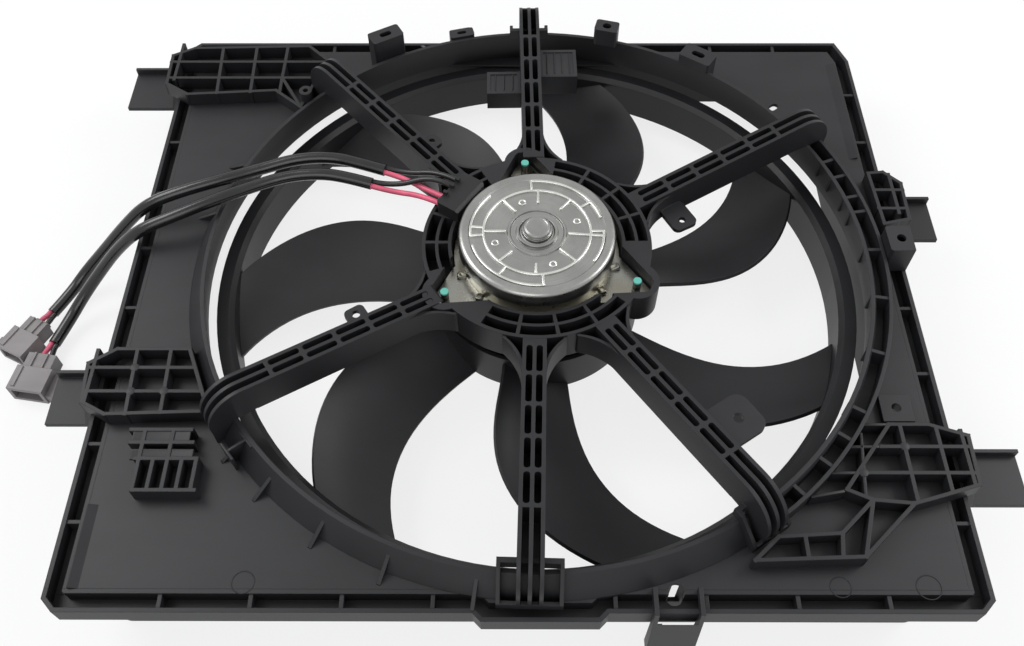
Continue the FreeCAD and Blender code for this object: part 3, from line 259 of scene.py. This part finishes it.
class Nodes:
    """A node tree in the making, empty at first."""

    def __init__(self, tree):
        self.tree = tree
        tree.nodes.clear()

    def node(self, kind, settings, inputs):
        node = self.tree.nodes.new(kind)
        for key, value in settings.items():
            setattr(node, key, value)
        for key, value in inputs.items():
            self.feed(node.inputs[key], value)
        return node

    def feed(self, socket, value):
        if isinstance(value, Term):
            value = value.socket
        if isinstance(value, bpy.types.NodeSocket):
            self.tree.links.new(value, socket)
        elif socket.type == "RGBA":
            socket.default_value = (*value, 1)
        else:
            socket.default_value = value

    def term(self, kind, settings, inputs, output=0):
        return Term(self, self.node(kind, settings, inputs).outputs[output])

    def maths(self, operation, first, second):
        return self.term("ShaderNodeMath", {"operation": operation}, {0: first, 1: second})

    def white_rays(self):
        """1 for what the camera sees, straight or by way of gloss or glass, and 0 for other light."""
        path = self.node("ShaderNodeLightPath", {}, {})
        straight = Term(self, path.outputs["Is Camera Ray"])
        gloss = Term(self, path.outputs["Is Glossy Ray"])
        glass = Term(self, path.outputs["Is Transmission Ray"])
        return (straight + gloss + glass).clipped()


class Finish(Nodes):
    """A material in the making, with one Principled shader."""

    def __init__(self, name):
        self.material = bpy.data.materials.new(name)
        self.material.use_nodes = True
        super().__init__(self.material.node_tree)
        self.shader = self.node("ShaderNodeBsdfPrincipled", {}, {})
        self.output = self.node("ShaderNodeOutputMaterial", {}, {"Surface": self.shader.outputs[0]})
        self.place = self.node("ShaderNodeTexCoord", {}, {}).outputs["Object"]

    def mapped(self, scale, turn):
        """The place, scaled, and turned about the vertical by an angle in radians."""
        inputs = {"Vector": self.place, "Rotation": (0, 0, turn), "Scale": scale}
        return self.term("ShaderNodeMapping", {}, inputs)

    def noise(self, scale, detail, rough, where=None):
        inputs = {"Vector": where or self.place, "Scale": scale, "Detail": detail, "Roughness": rough}
        return self.term("ShaderNodeTexNoise", {}, inputs)

    def noise_along(self, value, scale):
        """Noise that changes only with this value."""
        return self.term("ShaderNodeTexNoise", {"noise_dimensions": "1D"}, {"W": value, "Scale": scale})

    def waves(self, radians_per_metre):
        """Level bands that repeat with height."""
        settings = {"wave_type": "BANDS", "bands_direction": "Z"}
        inputs = {"Vector": self.place, "Scale": radians_per_metre / WAVE_NODE_FACTOR}
        return self.term("ShaderNodeTexWave", settings, inputs, 1)

    def height(self):
        return self.term("ShaderNodeSeparateXYZ", {}, {0: self.place}, 2)

    def from_axis(self):
        """Distance from the fan's axis."""
        split = self.node("ShaderNodeSeparateXYZ", {}, {0: self.place})
        x = Term(self, split.outputs[0]) - AXIS_X
        y = Term(self, split.outputs[1]) - AXIS_Y
        return (x * x + y * y) ** 0.5

    def blend(self, share, first, second):
        return self.term("ShaderNodeMix", {"data_type": "RGBA"}, {0: share, 6: first, 7: second}, 2)

    def softened(self, radius):
        """Normals with the edges rounded over this radius."""
        return self.term("ShaderNodeBevel", {"samples": BEVEL_NODE_SAMPLES}, {"Radius": radius})

    def bumped(self, height, distance, strength, normal=None):
        inputs = {"Height": height, "Distance": distance, "Strength": strength}
        if normal is not None:
            inputs["Normal"] = normal
        return self.term("ShaderNodeBump", {}, inputs)

    def wear(self, **inputs):
        """Feeds the shader, whose sockets are named with underscores for spaces."""
        for key, value in inputs.items():
            self.feed(self.shader.inputs[key.replace("_", " ")], value)
        return self.material


def shade(colour, share):
    return tuple(channel * share for channel in colour)


def moulded_plastic(name, colour, grain, edge, roughness):
    """Fine sparked grain, slow changes of gloss, faint flow marks and dust."""
    finish = Finish(name)
    cloud = finish.noise(scale=9.0, detail=4.0, rough=0.6)
    flow = finish.noise(scale=22.0, detail=2.0, rough=0.5, where=finish.mapped((1, 3.5, 1), 0.5))
    speck = finish.noise(scale=grain, detail=2.0, rough=0.6)
    dust = finish.noise(scale=140.0, detail=6.0, rough=0.75).between(0.60, 0.78)
    mottle = (cloud * 0.7 + flow * 0.3).between(0.35, 0.65)
    base = finish.blend(mottle, shade(colour, 0.8), shade(colour, 1.2))
    base = finish.blend(dust * 0.10, base, shade(colour, 3.0))
    rough = roughness + (cloud - 0.5) * 0.14 + (speck - 0.5) * 0.10 + dust * 0.08
    normal = finish.bumped(speck, 0.00004, 1.0, finish.softened(edge))
    normal = finish.bumped(flow, 0.0005, 0.2, normal)
    return finish.wear(Base_Color=base, Roughness=rough.clipped(), Normal=normal, Specular_IOR_Level=0.32)


def pressed_metal(name, colour, tint, roughness):
    """Drawn and plated sheet metal: cloudy plating, fine scratches, small stains."""
    finish = Finish(name)
    cloud = finish.noise(scale=38.0, detail=5.0, rough=0.6)
    patch = finish.noise(scale=120.0, detail=3.0, rough=0.6)
    scratch = finish.noise(scale=420.0, detail=3.0, rough=0.7, where=finish.mapped((1.0, 9.0, 1.0), 0.7))
    stain = finish.noise(scale=75.0, detail=6.0, rough=0.7).between(0.62, 0.75)
    base = finish.blend(cloud.between(0.35, 0.7), colour, tint)
    base = finish.blend(stain * 0.45, base, shade(colour, 0.45))
    rough = roughness + (patch - 0.5) * 0.18 + stain * 0.2
    normal = finish.bumped(scratch, 0.00004, 0.7, finish.softened(0.0004))
    normal = finish.bumped(cloud, 0.0005, 0.35, normal)
    return finish.wear(Base_Color=base, Metallic=1.0, Roughness=rough.clipped(), Normal=normal)


def cap_metal(name, colour, roughness):
    """Satin drawn sheet: faint rings round the axis, cloudy gloss, small marks of handling."""
    finish = Finish(name)
    cloud = finish.noise(scale=45.0, detail=5.0, rough=0.6)
    patch = finish.noise(scale=150.0, detail=3.0, rough=0.6)
    mark = finish.noise(scale=210.0, detail=5.0, rough=0.75).between(0.66, 0.76)
    radius = finish.from_axis()
    rings = finish.noise_along(radius, 900.0)
    steps = finish.noise_along(radius, 260.0)
    base = finish.blend(cloud.between(0.35, 0.7), shade(colour, 0.9), shade(colour, 1.12))
    base = finish.blend(rings.between(0.35, 0.65) * 0.25, base, shade(colour, 0.75))
    base = finish.blend(mark * 0.35, base, shade(colour, 0.5))
    rough = roughness + (patch - 0.5) * 0.16 + (rings - 0.5) * 0.12 + mark * 0.15
    normal = finish.bumped(rings, 0.00006, 0.5, finish.softened(0.0003))
    normal = finish.bumped(steps, 0.0002, 0.35, normal)
    return finish.wear(Base_Color=base, Metallic=1.0, Roughness=rough.clipped(), Normal=normal)


def highlight_line_metal(name, colour, roughness):
    """Smooth metal without bumps for the pressed lines and dimples, in a colour lighter than the cap's that
    carries their painted highlight.
    """
    finish = Finish(name)
    cloud = finish.noise(scale=90.0, detail=3.0, rough=0.6)
    base = finish.blend(cloud.between(0.35, 0.7), shade(colour, 0.9), shade(colour, 1.1))
    rough = roughness + (cloud - 0.5) * 0.1
    return finish.wear(Base_Color=base, Metallic=1.0, Roughness=rough.clipped())


def stud_metal(name, colour, paint):
    """Dark plated steel whose top end carries a dab of thread paint."""
    finish = Finish(name)
    cloud = finish.noise(scale=160.0, detail=4.0, rough=0.6)
    thread = finish.waves(THREAD_RADIANS_PER_METRE)
    tip = finish.height().between(STUD_TOP - PAINT_FADE_DEPTH, STUD_TOP - PAINT_FULL_DEPTH)
    steel = finish.blend(cloud.between(0.35, 0.7), colour, shade(colour, 0.7))
    base = finish.blend(tip, steel, paint)
    bare = 1.0 - tip
    normal = finish.bumped(thread * bare, 0.0003, 0.8, finish.softened(0.0003))
    rough = 0.30 + tip * 0.2 + (cloud - 0.5) * 0.2
    return finish.wear(Base_Color=base, Metallic=bare * 0.9, Roughness=rough.clipped(), Normal=normal)


def rubber_skin(name, colour, roughness, coat=0.0):
    """Smooth extruded insulation with faint wear."""
    finish = Finish(name)
    cloud = finish.noise(scale=60.0, detail=4.0, rough=0.6)
    grain = finish.noise(scale=900.0, detail=2.0, rough=0.5)
    base = finish.blend(cloud.between(0.35, 0.7), shade(colour, 0.85), shade(colour, 1.2))
    rough = roughness + (cloud - 0.5) * 0.2
    normal = finish.bumped(grain, 0.00005, 0.6)
    return finish.wear(Base_Color=base, Roughness=rough.clipped(), Normal=normal, Coat_Weight=coat,
                       Specular_IOR_Level=0.38)


def give(node, material):
    """The CAD node keeps its shape and gets this finish."""
    piece = frame["nodes"][node]
    piece.data.materials.clear()
    piece.data.materials.append(material)


def give_by_slot(materials):
    """Each CAD node whose slot is in this table gets the finish that stands beside it."""
    for part in frame["record"]["subparts"]:
        if part["material_slot"] in materials:
            give(part["node"], materials[part["material_slot"]])


# Tools for modelling

def deselect():
    if bpy.context.object and bpy.context.object.mode != "OBJECT":
        bpy.ops.object.mode_set(mode="OBJECT")
    bpy.ops.object.select_all(action="DESELECT")


def select(*pieces):
    """Selects these pieces alone, with the first one active."""
    deselect()
    for piece in pieces:
        piece.select_set(True)
    bpy.context.view_layer.objects.active = pieces[0]


def named(name):
    piece = bpy.context.object
    piece.name = name
    piece.data.name = name
    return piece


def settle(piece):
    """Puts the piece's place into its mesh, so its object is at the origin."""
    select(piece)
    bpy.ops.object.transform_apply(location=True, rotation=True, scale=True)


def round_axis(radius, angle, height):
    """The place at this distance from the fan's axis, in this direction and at this height."""
    turn = math.radians(angle)
    return (AXIS_X + radius * math.cos(turn), AXIS_Y + radius * math.sin(turn), height)


def lathe(name, profile):
    """Turned shell round the fan's axis: a circle extruded along (radius, height) steps."""
    deselect()
    radius, height = profile[0]
    bpy.ops.mesh.primitive_circle_add(vertices=LATHE_SIDES, radius=radius, location=(AXIS_X, AXIS_Y, height))
    piece = named(name)
    bpy.ops.object.mode_set(mode="EDIT")
    bpy.ops.mesh.select_all(action="SELECT")
    for next_radius, next_height in profile[1:]:
        bpy.ops.mesh.extrude_region_move(TRANSFORM_OT_translate={"value": (0, 0, next_height - height)})
        share = next_radius / radius
        bpy.ops.transform.resize(value=(share, share, 1), center_override=(AXIS_X, AXIS_Y, 0))
        radius, height = next_radius, next_height
    bpy.ops.mesh.edge_face_add()
    bpy.ops.mesh.select_all(action="SELECT")
    bpy.ops.mesh.normals_make_consistent(inside=False)
    bpy.ops.object.mode_set(mode="OBJECT")
    settle(piece)
    return piece


def bead_arc(name, radius, start, end, width, low, high):
    """A bar of rectangular section bent round the fan's axis. A full turn has no end faces."""
    deselect()
    bpy.ops.mesh.primitive_plane_add(size=1, location=(AXIS_X + radius, AXIS_Y, (low + high) / 2),
                                     rotation=(math.pi / 2, 0, 0))
    piece = named(name)
    piece.scale = (width, high - low, 1)
    settle(piece)
    bpy.ops.object.mode_set(mode="EDIT")
    bpy.ops.mesh.select_all(action="SELECT")
    if end - start == 360:
        bpy.ops.mesh.delete(type="ONLY_FACE")
        bpy.ops.mesh.select_all(action="SELECT")
    steps = max(LEAST_ARC_STEPS, int((end - start) / ARC_STEP))
    bpy.ops.mesh.spin(steps=steps, angle=math.radians(end - start), center=(AXIS_X, AXIS_Y, 0),
                      axis=(0, 0, 1))
    bpy.ops.mesh.select_all(action="SELECT")
    bpy.ops.mesh.remove_doubles(threshold=MERGE_DISTANCE)
    bpy.ops.mesh.normals_make_consistent(inside=False)
    bpy.ops.object.mode_set(mode="OBJECT")
    to_axis = Matrix.Translation((AXIS_X, AXIS_Y, 0))
    piece.matrix_world = to_axis @ Matrix.Rotation(math.radians(start), 4, "Z") @ to_axis.inverted()
    settle(piece)
    return piece


def bead_spoke(name, near, far, angle, width, low, high):
    """A straight bar that points out from the fan's axis."""
    deselect()
    bpy.ops.mesh.primitive_cube_add(size=1, location=round_axis((near + far) / 2, angle, (low + high) / 2),
                                    rotation=(0, 0, math.radians(angle)))
    piece = named(name)
    piece.scale = (far - near, width, high - low)
    settle(piece)
    return piece


def edit_top(piece):
    """Opens the piece in edit mode with its upward faces alone selected."""
    for face in piece.data.polygons:
        face.select = face.normal.z > TOP_NORMAL
    bpy.ops.object.mode_set(mode="EDIT")
    bpy.ops.mesh.select_mode(type="FACE")


def rib(name, start, end, low, high, thickness):
    """An upright moulded rib between two places, a little thinner at its top."""
    deselect()
    bpy.ops.mesh.primitive_cube_add(size=1, location=(0, 0, 0))
    piece = named(name)
    run = Vector(end) - Vector(start)
    piece.scale = (run.length, thickness, high - low)
    settle(piece)
    edit_top(piece)
    bpy.ops.transform.resize(value=(1, RIB_TAPER, 1), center_override=(0, 0, 0))
    bpy.ops.object.mode_set(mode="OBJECT")
    middle = (Vector(start) + Vector(end)) / 2
    piece.location = (middle.x, middle.y, (low + high) / 2)
    piece.rotation_euler.z = math.atan2(run.y, run.x)
    settle(piece)
    return piece


def lid(name, near_left, far_right, low, high):
    """A moulded lid with a shallow recess in its top."""
    deselect()
    middle = (Vector(near_left) + Vector(far_right)) / 2
    size = Vector(far_right) - Vector(near_left)
    bpy.ops.mesh.primitive_cube_add(size=1, location=(middle.x, middle.y, (low + high) / 2))
    piece = named(name)
    piece.scale = (size.x, size.y, high - low)
    settle(piece)
    edit_top(piece)
    bpy.ops.mesh.inset(thickness=LID_RIM, depth=-LID_RECESS)
    bpy.ops.object.mode_set(mode="OBJECT")
    return piece


def hoop(name, place, radius, wire, sides, wire_sides):
    """A flat ring of round wire."""
    deselect()
    bpy.ops.mesh.primitive_torus_add(major_radius=radius, minor_radius=wire, major_segments=sides,
                                     minor_segments=wire_sides, location=place)
    piece = named(name)
    settle(piece)
    return piece


def joined(name, pieces):
    select(*pieces)
    bpy.ops.object.join()
    return named(name)


def eased(piece, width, steps=2):
    """Rounds the piece's sharp edges."""
    select(piece)
    bevel = piece.modifiers.new("edges", "BEVEL")
    bevel.width = width
    bevel.segments = steps
    bevel.limit_method = "ANGLE"
    bevel.angle_limit = SHARP_EDGE_RADIANS
    bpy.ops.object.modifier_apply(modifier=bevel.name)
    return piece


def smoothed(piece, angle=40):
    select(piece)
    bpy.ops.object.shade_smooth_by_angle(angle=math.radians(angle))
    return piece


def finished(piece, material):
    piece.data.materials.clear()
    piece.data.materials.append(material)
    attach(piece, "root")
    return piece


def shroud_finished(piece):
    """Smooths a piece of the shroud's moulding and gives it its finish."""
    return finished(smoothed(piece), bpy.data.materials["shroud_mould"])


def cord_curve(name, points, radius):
    """A round cord along a smooth spline with these control points."""
    curve = bpy.data.curves.new(name, "CURVE")
    curve.dimensions = "3D"
    curve.bevel_depth = radius
    curve.bevel_resolution = 5
    curve.use_fill_caps = True
    spline = curve.splines.new("NURBS")
    spline.points.add(len(points) - 1)
    for point, place in zip(spline.points, points):
        point.co = (*place, 1)
    spline.order_u = 3
    spline.use_endpoint_u = True
    spline.resolution_u = 10
    piece = bpy.data.objects.new(name, curve)
    bpy.context.scene.collection.objects.link(piece)
    return piece


# Operators

class OBJECT_OT_fan_camera(bpy.types.Operator):
    """Puts the camera where the photograph was taken from"""
    bl_idname = "fan.camera"
    bl_label = "Camera"

    def execute(self, context):
        elevation, yaw, roll = map(math.radians, (CAMERA_ELEVATION, CAMERA_YAW, CAMERA_ROLL))
        right = Vector((math.cos(yaw), math.sin(yaw), 0))
        back = Vector((math.sin(yaw) * math.cos(elevation), -math.cos(yaw) * math.cos(elevation),
                       math.sin(elevation)))
        up = back.cross(right)
        side = math.cos(roll) * right + math.sin(roll) * up
        top = math.cos(roll) * up - math.sin(roll) * right
        data = bpy.data.cameras.new("photo_camera")
        data.sensor_width = CAMERA_SENSOR
        data.lens = CAMERA_LENS
        data.clip_start = CAMERA_NEAR
        data.clip_end = CAMERA_FAR
        camera = bpy.data.objects.new("photo_camera", data)
        turn = Matrix((side, top, back)).transposed().to_4x4()
        camera.matrix_world = Matrix.Translation(CAMERA_PLACE) @ turn
        context.scene.collection.objects.link(camera)
        context.scene.camera = camera
        return {"FINISHED"}


class OBJECT_OT_fan_leads(bpy.types.Operator):
    """Makes the sleeved leads and the bare wires at the motor"""
    bl_idname = "fan.leads"
    bl_label = "Leads"

    def execute(self, context):
        sizes = context.scene.fan_leads
        black = rubber_skin("wire_black_skin", (0.011, 0.011, 0.012), 0.28)
        red = rubber_skin("wire_red_skin", tuple(context.scene.fan_colours.wire_red), 0.38)
        sleeve = rubber_skin("sleeve_skin", (0.008, 0.008, 0.009), 0.22, coat=0.15)
        for key, points in WIRE_ROUTES.items():
            wire = cord_curve("hub_wire_" + key, points, sizes.wire_radius)
            colour = key.split("_")[0]
            finished(wire, red if colour == "red" else black)
            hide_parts("wire_" + key)
        for key, points in SLEEVE_ROUTES.items():
            tube = cord_curve("sleeve_" + key, points, sizes.sleeve_radius)
            finished(tube, sleeve)
            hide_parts("lead_sleeve_" + key)
            give("tail_red_" + key, red)
            give("tail_black_" + key, black)
            with_it = [frame["nodes"][node + key] for node in ("tail_red_", "tail_black_", "connector_")]
            if key == "a":
                with_it += [frame["nodes"]["terminals"], frame["nodes"]["wire_seals"]]
        return {"FINISHED"}


class OBJECT_OT_fan_plastics(bpy.types.Operator):
    """Gives the shroud, the fan, the block and the connectors their moulded finishes"""
    bl_idname = "fan.plastics"
    bl_label = "Plastics"

    def execute(self, context):
        colours = context.scene.fan_colours
        shroud, fan, grey = tuple(colours.shroud), tuple(colours.fan), tuple(colours.connector)
        give_by_slot({
            "shroud_plastic": moulded_plastic("shroud_mould", shroud, 1500.0, 0.0006, 0.48),
            "fan_plastic": moulded_plastic("fan_mould", fan, 2200.0, 0.0005, 0.46),
            "block_plastic": moulded_plastic("block_mould", (0.011, 0.011, 0.012), 1900.0, 0.0005, 0.45),
            "connector_grey": moulded_plastic("connector_mould", grey, 2600.0, 0.0005, 0.46),
            "card_plastic": moulded_plastic("card_mould", (0.10, 0.06, 0.03), 900.0, 0.0003, 0.5),
            "seal_rubber": rubber_skin("seal_skin", (0.22, 0.20, 0.18), 0.55),
        })
        return {"FINISHED"}


class OBJECT_OT_fan_metals(bpy.types.Operator):
    """Gives the motor's metal pieces their finishes"""
    bl_idname = "fan.metals"
    bl_label = "Metals"

    def execute(self, context):
        zinc = tuple(context.scene.fan_colours.zinc)
        iron = pressed_metal("stamped_iron", (0.16, 0.16, 0.16), (0.12, 0.11, 0.10), 0.45)
        give_by_slot({
            "zinc_plate": pressed_metal("zinc_sheet", zinc, (0.27, 0.27, 0.25), 0.28),
            "motor_steel": pressed_metal("can_sheet", (0.52, 0.50, 0.42), (0.46, 0.45, 0.41), 0.30),
            "screw_steel": stud_metal("stud_steel", (0.16, 0.16, 0.15), (0.10, 0.40, 0.33)),
            "bearing_steel": pressed_metal("ground_steel", (0.45, 0.45, 0.44), (0.38, 0.38, 0.38), 0.24),
            "copper": pressed_metal("enamelled_copper", (0.72, 0.33, 0.16), (0.6, 0.25, 0.10), 0.3),
            "contact_brass": pressed_metal("stamped_brass", (0.70, 0.55, 0.25), (0.6, 0.45, 0.18), 0.3),
            "magnet_ferrite": iron,
            "core_iron": iron,
            "brush_carbon": iron,
        })
        return {"FINISHED"}


class OBJECT_OT_fan_cap(bpy.types.Operator):
    """Makes the motor's pressed cap with its lines, dimples and centre button"""
    bl_idname = "fan.cap"
    bl_label = "Motor cap"

    def execute(self, context):
        sizes = context.scene.fan_cap
        width, inner, outer = sizes.bead_width, sizes.inner_line, sizes.outer_line
        low, top = (corner[2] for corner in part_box("motor_end_cap"))
        face = top - CAP_BUTTON
        wall = [(CAP_RADIUS - CAP_WALL, low), (CAP_RADIUS, low)]
        cap = lathe("motor_cap", wall + [(radius, face + height) for radius, height in CAP_SECTION])
        base = face + CAP_PLATE_CREST - CAP_LINE_ROOT
        crest = face + CAP_PLATE_CREST + sizes.bead_height
        lines = [bead_arc("ring", inner, 0, 360, width, base, crest)]
        for start, end in CAP_CELLS:
            lines.append(bead_arc("arc", outer, start, end, width, base, crest))
            for angle in (start, end):
                lines.append(bead_spoke("jog", inner, outer + width / 2, angle, width, base, crest))
        for angle, near in CAP_SPOKES:
            lines.append(bead_spoke("spoke", near, inner, angle, width, base, crest))
        beads = eased(joined("cap_lines", lines), CAP_LINE_EDGE, CAP_LINE_EDGE_STEPS)
        dimples = []
        for angle, radius in CAP_DIMPLES:
            place = round_axis(radius, angle, face + CAP_PLATE)
            dimples.append(hoop("dimple", place, DIMPLE_RADIUS, DIMPLE_WIRE, sides=24, wire_sides=8))
        marks = joined("cap_lines", [beads] + dimples)
        colour = tuple(context.scene.fan_colours.cap)
        finished(smoothed(cap, 35), cap_metal("cap_sheet", colour, 0.30))
        # The lines and dimples get the cap's colour made 1.9 times lighter: a painted highlight on the same
        # sheet metal.
        finished(smoothed(marks, 35), highlight_line_metal("cap_line_painted_highlight", shade(colour, 1.9), 0.27))
        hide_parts("motor_end_cap")
        return {"FINISHED"}


class OBJECT_OT_fan_crimps(bpy.types.Operator):
    """Folds the flange's ears against the motor's can"""
    bl_idname = "fan.crimps"
    bl_label = "Ear crimps"

    def execute(self, context):
        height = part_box("motor_flange")[1][2] + CRIMP_LIFT
        crimps = []
        for ear in EAR_ANGLES:
            for side in (-1, 1):
                angle = ear + side * CRIMP_SIDE_ANGLE
                twist = math.radians(angle) + side * CRIMP_TWIST_RADIANS
                place = round_axis(CRIMP_AXIS_RADIUS, angle, height)
                deselect()
                bpy.ops.mesh.primitive_cube_add(size=1, location=place,
                                                rotation=(0, CRIMP_LEAN_RADIANS, twist))
                crimp = named("ear_crimp")
                crimp.scale = CRIMP_SIZE
                settle(crimp)
                crimps.append(crimp)
        folds = eased(joined("ear_crimps", crimps), CRIMP_EDGE, CRIMP_EDGE_STEPS)
        finished(smoothed(folds), bpy.data.materials["zinc_sheet"])
        return {"FINISHED"}


class OBJECT_OT_fan_marks(bpy.types.Operator):
    """Leaves the mould's rings on the deck, knobs where ribs cross, and ribs beyond the near right pad"""
    bl_idname = "fan.marks"
    bl_label = "Mould marks"

    def execute(self, context):
        rings = [hoop("ring", (x, y, DECK_TOP), radius, EJECTOR_RING_WIRE, sides=48, wire_sides=6)
                 for x, y, radius in EJECTOR_RINGS]
        shroud_finished(joined("ejector_rings", rings))
        knob_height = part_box("pad_near_left")[1][2] + KNOB_RISE - KNOB_DEPTH / 2
        knobs = []
        for x, y in RIB_KNOBS:
            deselect()
            bpy.ops.mesh.primitive_cylinder_add(vertices=24, radius=KNOB_RADIUS, depth=KNOB_DEPTH,
                                                location=(x, y, knob_height))
            knobs.append(named("knob"))
            settle(knobs[-1])
        shroud_finished(eased(joined("rib_knobs", knobs), MOULD_EDGE))
        foot = DECK_TOP - PAD_RIB_ROOT
        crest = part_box("pad_near_right")[1][2] - PAD_RIB_DROP
        ribs = [rib("pad_rib", *run, foot, crest, PAD_RIB_THICKNESS) for run in PAD_RIBS]
        shroud_finished(eased(joined("pad_ribs", ribs), MOULD_EDGE))
        return {"FINISHED"}


class OBJECT_OT_fan_foot_bar(bpy.types.Operator):
    """Puts the small cable bar beside the foot of the near left strut"""
    bl_idname = "fan.foot_bar"
    bl_label = "Foot bar"

    def execute(self, context):
        turn = math.radians(FOOT_BAR_ANGLE)
        out = Vector((math.cos(turn), math.sin(turn)))
        across = Vector((-out.y, out.x)) * FOOT_BAR_HALF_WIDTH
        axis = Vector((AXIS_X, AXIS_Y))
        near, far = axis + out * FOOT_BAR_NEAR, axis + out * FOOT_BAR_FAR
        runs = ((near - across, near + across), (far - across, far + across), (near, far))
        pieces = [rib("foot_bar_piece", *run, DECK_TOP, DECK_TOP + FOOT_BAR_HEIGHT, FOOT_BAR_THICKNESS)
                  for run in runs]
        shroud_finished(eased(joined("foot_bar", pieces), MOULD_EDGE))
        return {"FINISHED"}


class OBJECT_OT_fan_lids(bpy.types.Operator):
    """Closes the far strut's clip boxes and end, and cells of the harness clip"""
    bl_idname = "fan.lids"
    bl_label = "Lids"

    def execute(self, context):
        pieces = []
        for node, count in BOX_LIDS:
            (left, near, _), (right, far, top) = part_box(node)
            near_left, far_right = (left + BOX_WALL, near + BOX_WALL), (right - BOX_WALL, far - BOX_WALL)
            pieces.append(lid("box_lid", near_left, far_right, top - LID_UNDERSIDE_DROP, top - BOX_LID_DROP))
            for step in range(1, count + 1):
                x = left + (right - left) * step / (count + 1)
                pieces.append(rib("lid_rib", (x, near + LID_RIB_NEAR_GAP), (x, far - LID_RIB_FAR_GAP),
                                  top - LID_RIB_HEIGHT, top, LID_RIB_THICKNESS))
        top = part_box("harness_clip")[1][2]
        for near_left, far_right in HARNESS_LIDS:
            pieces.append(lid("clip_lid", near_left, far_right,
                              top - LID_UNDERSIDE_DROP, top - HARNESS_LID_DROP))
        pieces.append(rib("strut_end", *STRUT_END))
        shroud_finished(eased(joined("clip_lids", pieces), LID_EDGE))
        return {"FINISHED"}


class OBJECT_OT_fan_stage(bpy.types.Operator):
    """Makes the pale floor, the lamps and the background"""
    bl_idname = "fan.stage"
    bl_label = "Stage"

    def execute(self, context):
        self.lay_floor()
        for name, place, width, watts in LAMPS:
            data = bpy.data.lights.new(name, "AREA")
            data.shape = "SQUARE"
            data.size = width
            data.energy = watts
            lamp = bpy.data.objects.new(name, data)
            lamp.location = place
            aim = Vector(LAMP_AIM) - Vector(place)
            lamp.rotation_euler = aim.to_track_quat("-Z", "Y").to_euler()
            context.scene.collection.objects.link(lamp)
        context.scene.world = self.studio_world()
        context.scene.view_settings.view_transform = "Standard"
        return {"FINISHED"}

    def lay_floor(self):
        deselect()
        bpy.ops.mesh.primitive_plane_add(size=FLOOR_WIDTH, location=(0, 0, FLOOR_HEIGHT))
        floor = named("stage_floor")
        settle(floor)
        finish = Finish("stage_white")
        finish.wear(Base_Color=FLOOR_COLOUR, Roughness=FLOOR_ROUGHNESS)
        glow = finish.node("ShaderNodeEmission", {}, {"Color": WHITE, "Strength": 1.0})
        layers = {0: finish.white_rays() * FLOOR_GLOW, 1: finish.shader.outputs[0], 2: glow.outputs[0]}
        mix = finish.node("ShaderNodeMixShader", {}, layers)
        finish.feed(finish.output.inputs["Surface"], mix.outputs[0])
        floor.data.materials.append(finish.material)

    def studio_world(self):
        """Soft light all round, and white where the camera looks past the floor."""
        world = bpy.data.worlds.new("studio")
        world.use_nodes = True
        sky = Nodes(world.node_tree)
        ambient = sky.node("ShaderNodeBackground", {}, {"Color": SKY_COLOUR, "Strength": SKY_STRENGTH})
        white = sky.node("ShaderNodeBackground", {}, {"Color": WHITE, "Strength": 1.0})
        layers = {0: sky.white_rays(), 1: ambient.outputs[0], 2: white.outputs[0]}
        mix = sky.node("ShaderNodeMixShader", {}, layers)
        sky.node("ShaderNodeOutputWorld", {}, {"Surface": mix.outputs[0]})
        return world


class VIEW3D_PT_fan(bpy.types.Panel):
    """Shows a button for each of the fan's steps"""
    bl_label = "Radiator fan"
    bl_idname = "VIEW3D_PT_fan"
    bl_space_type = "VIEW_3D"
    bl_region_type = "UI"
    bl_category = "Radiator fan"

    def draw(self, context):
        for operator in OPERATORS:
            self.layout.operator(operator.bl_idname)


GROUPS = {"fan_cap": CapSizes, "fan_leads": LeadSizes, "fan_colours": LookColours}
OPERATORS = (OBJECT_OT_fan_camera, OBJECT_OT_fan_leads, OBJECT_OT_fan_plastics, OBJECT_OT_fan_metals,
             OBJECT_OT_fan_cap, OBJECT_OT_fan_crimps, OBJECT_OT_fan_marks,
             OBJECT_OT_fan_foot_bar, OBJECT_OT_fan_lids, OBJECT_OT_fan_stage)


def register():
    for group in GROUPS.values():
        bpy.utils.register_class(group)
    for name, group in GROUPS.items():
        setattr(bpy.types.Scene, name, bpy.props.PointerProperty(type=group))
    for operator in OPERATORS:
        bpy.utils.register_class(operator)
    bpy.utils.register_class(VIEW3D_PT_fan)


def unregister():
    bpy.utils.unregister_class(VIEW3D_PT_fan)
    for operator in reversed(OPERATORS):
        bpy.utils.unregister_class(operator)
    for name, group in GROUPS.items():
        delattr(bpy.types.Scene, name)
        bpy.utils.unregister_class(group)


def main():
    register()
    bpy.ops.fan.camera()
    bpy.ops.fan.leads()
    bpy.ops.fan.plastics()
    bpy.ops.fan.metals()
    bpy.ops.fan.cap()
    bpy.ops.fan.crimps()
    bpy.ops.fan.marks()
    bpy.ops.fan.foot_bar()
    bpy.ops.fan.lids()
    bpy.ops.fan.stage()


if __name__ == "__main__":
    main()
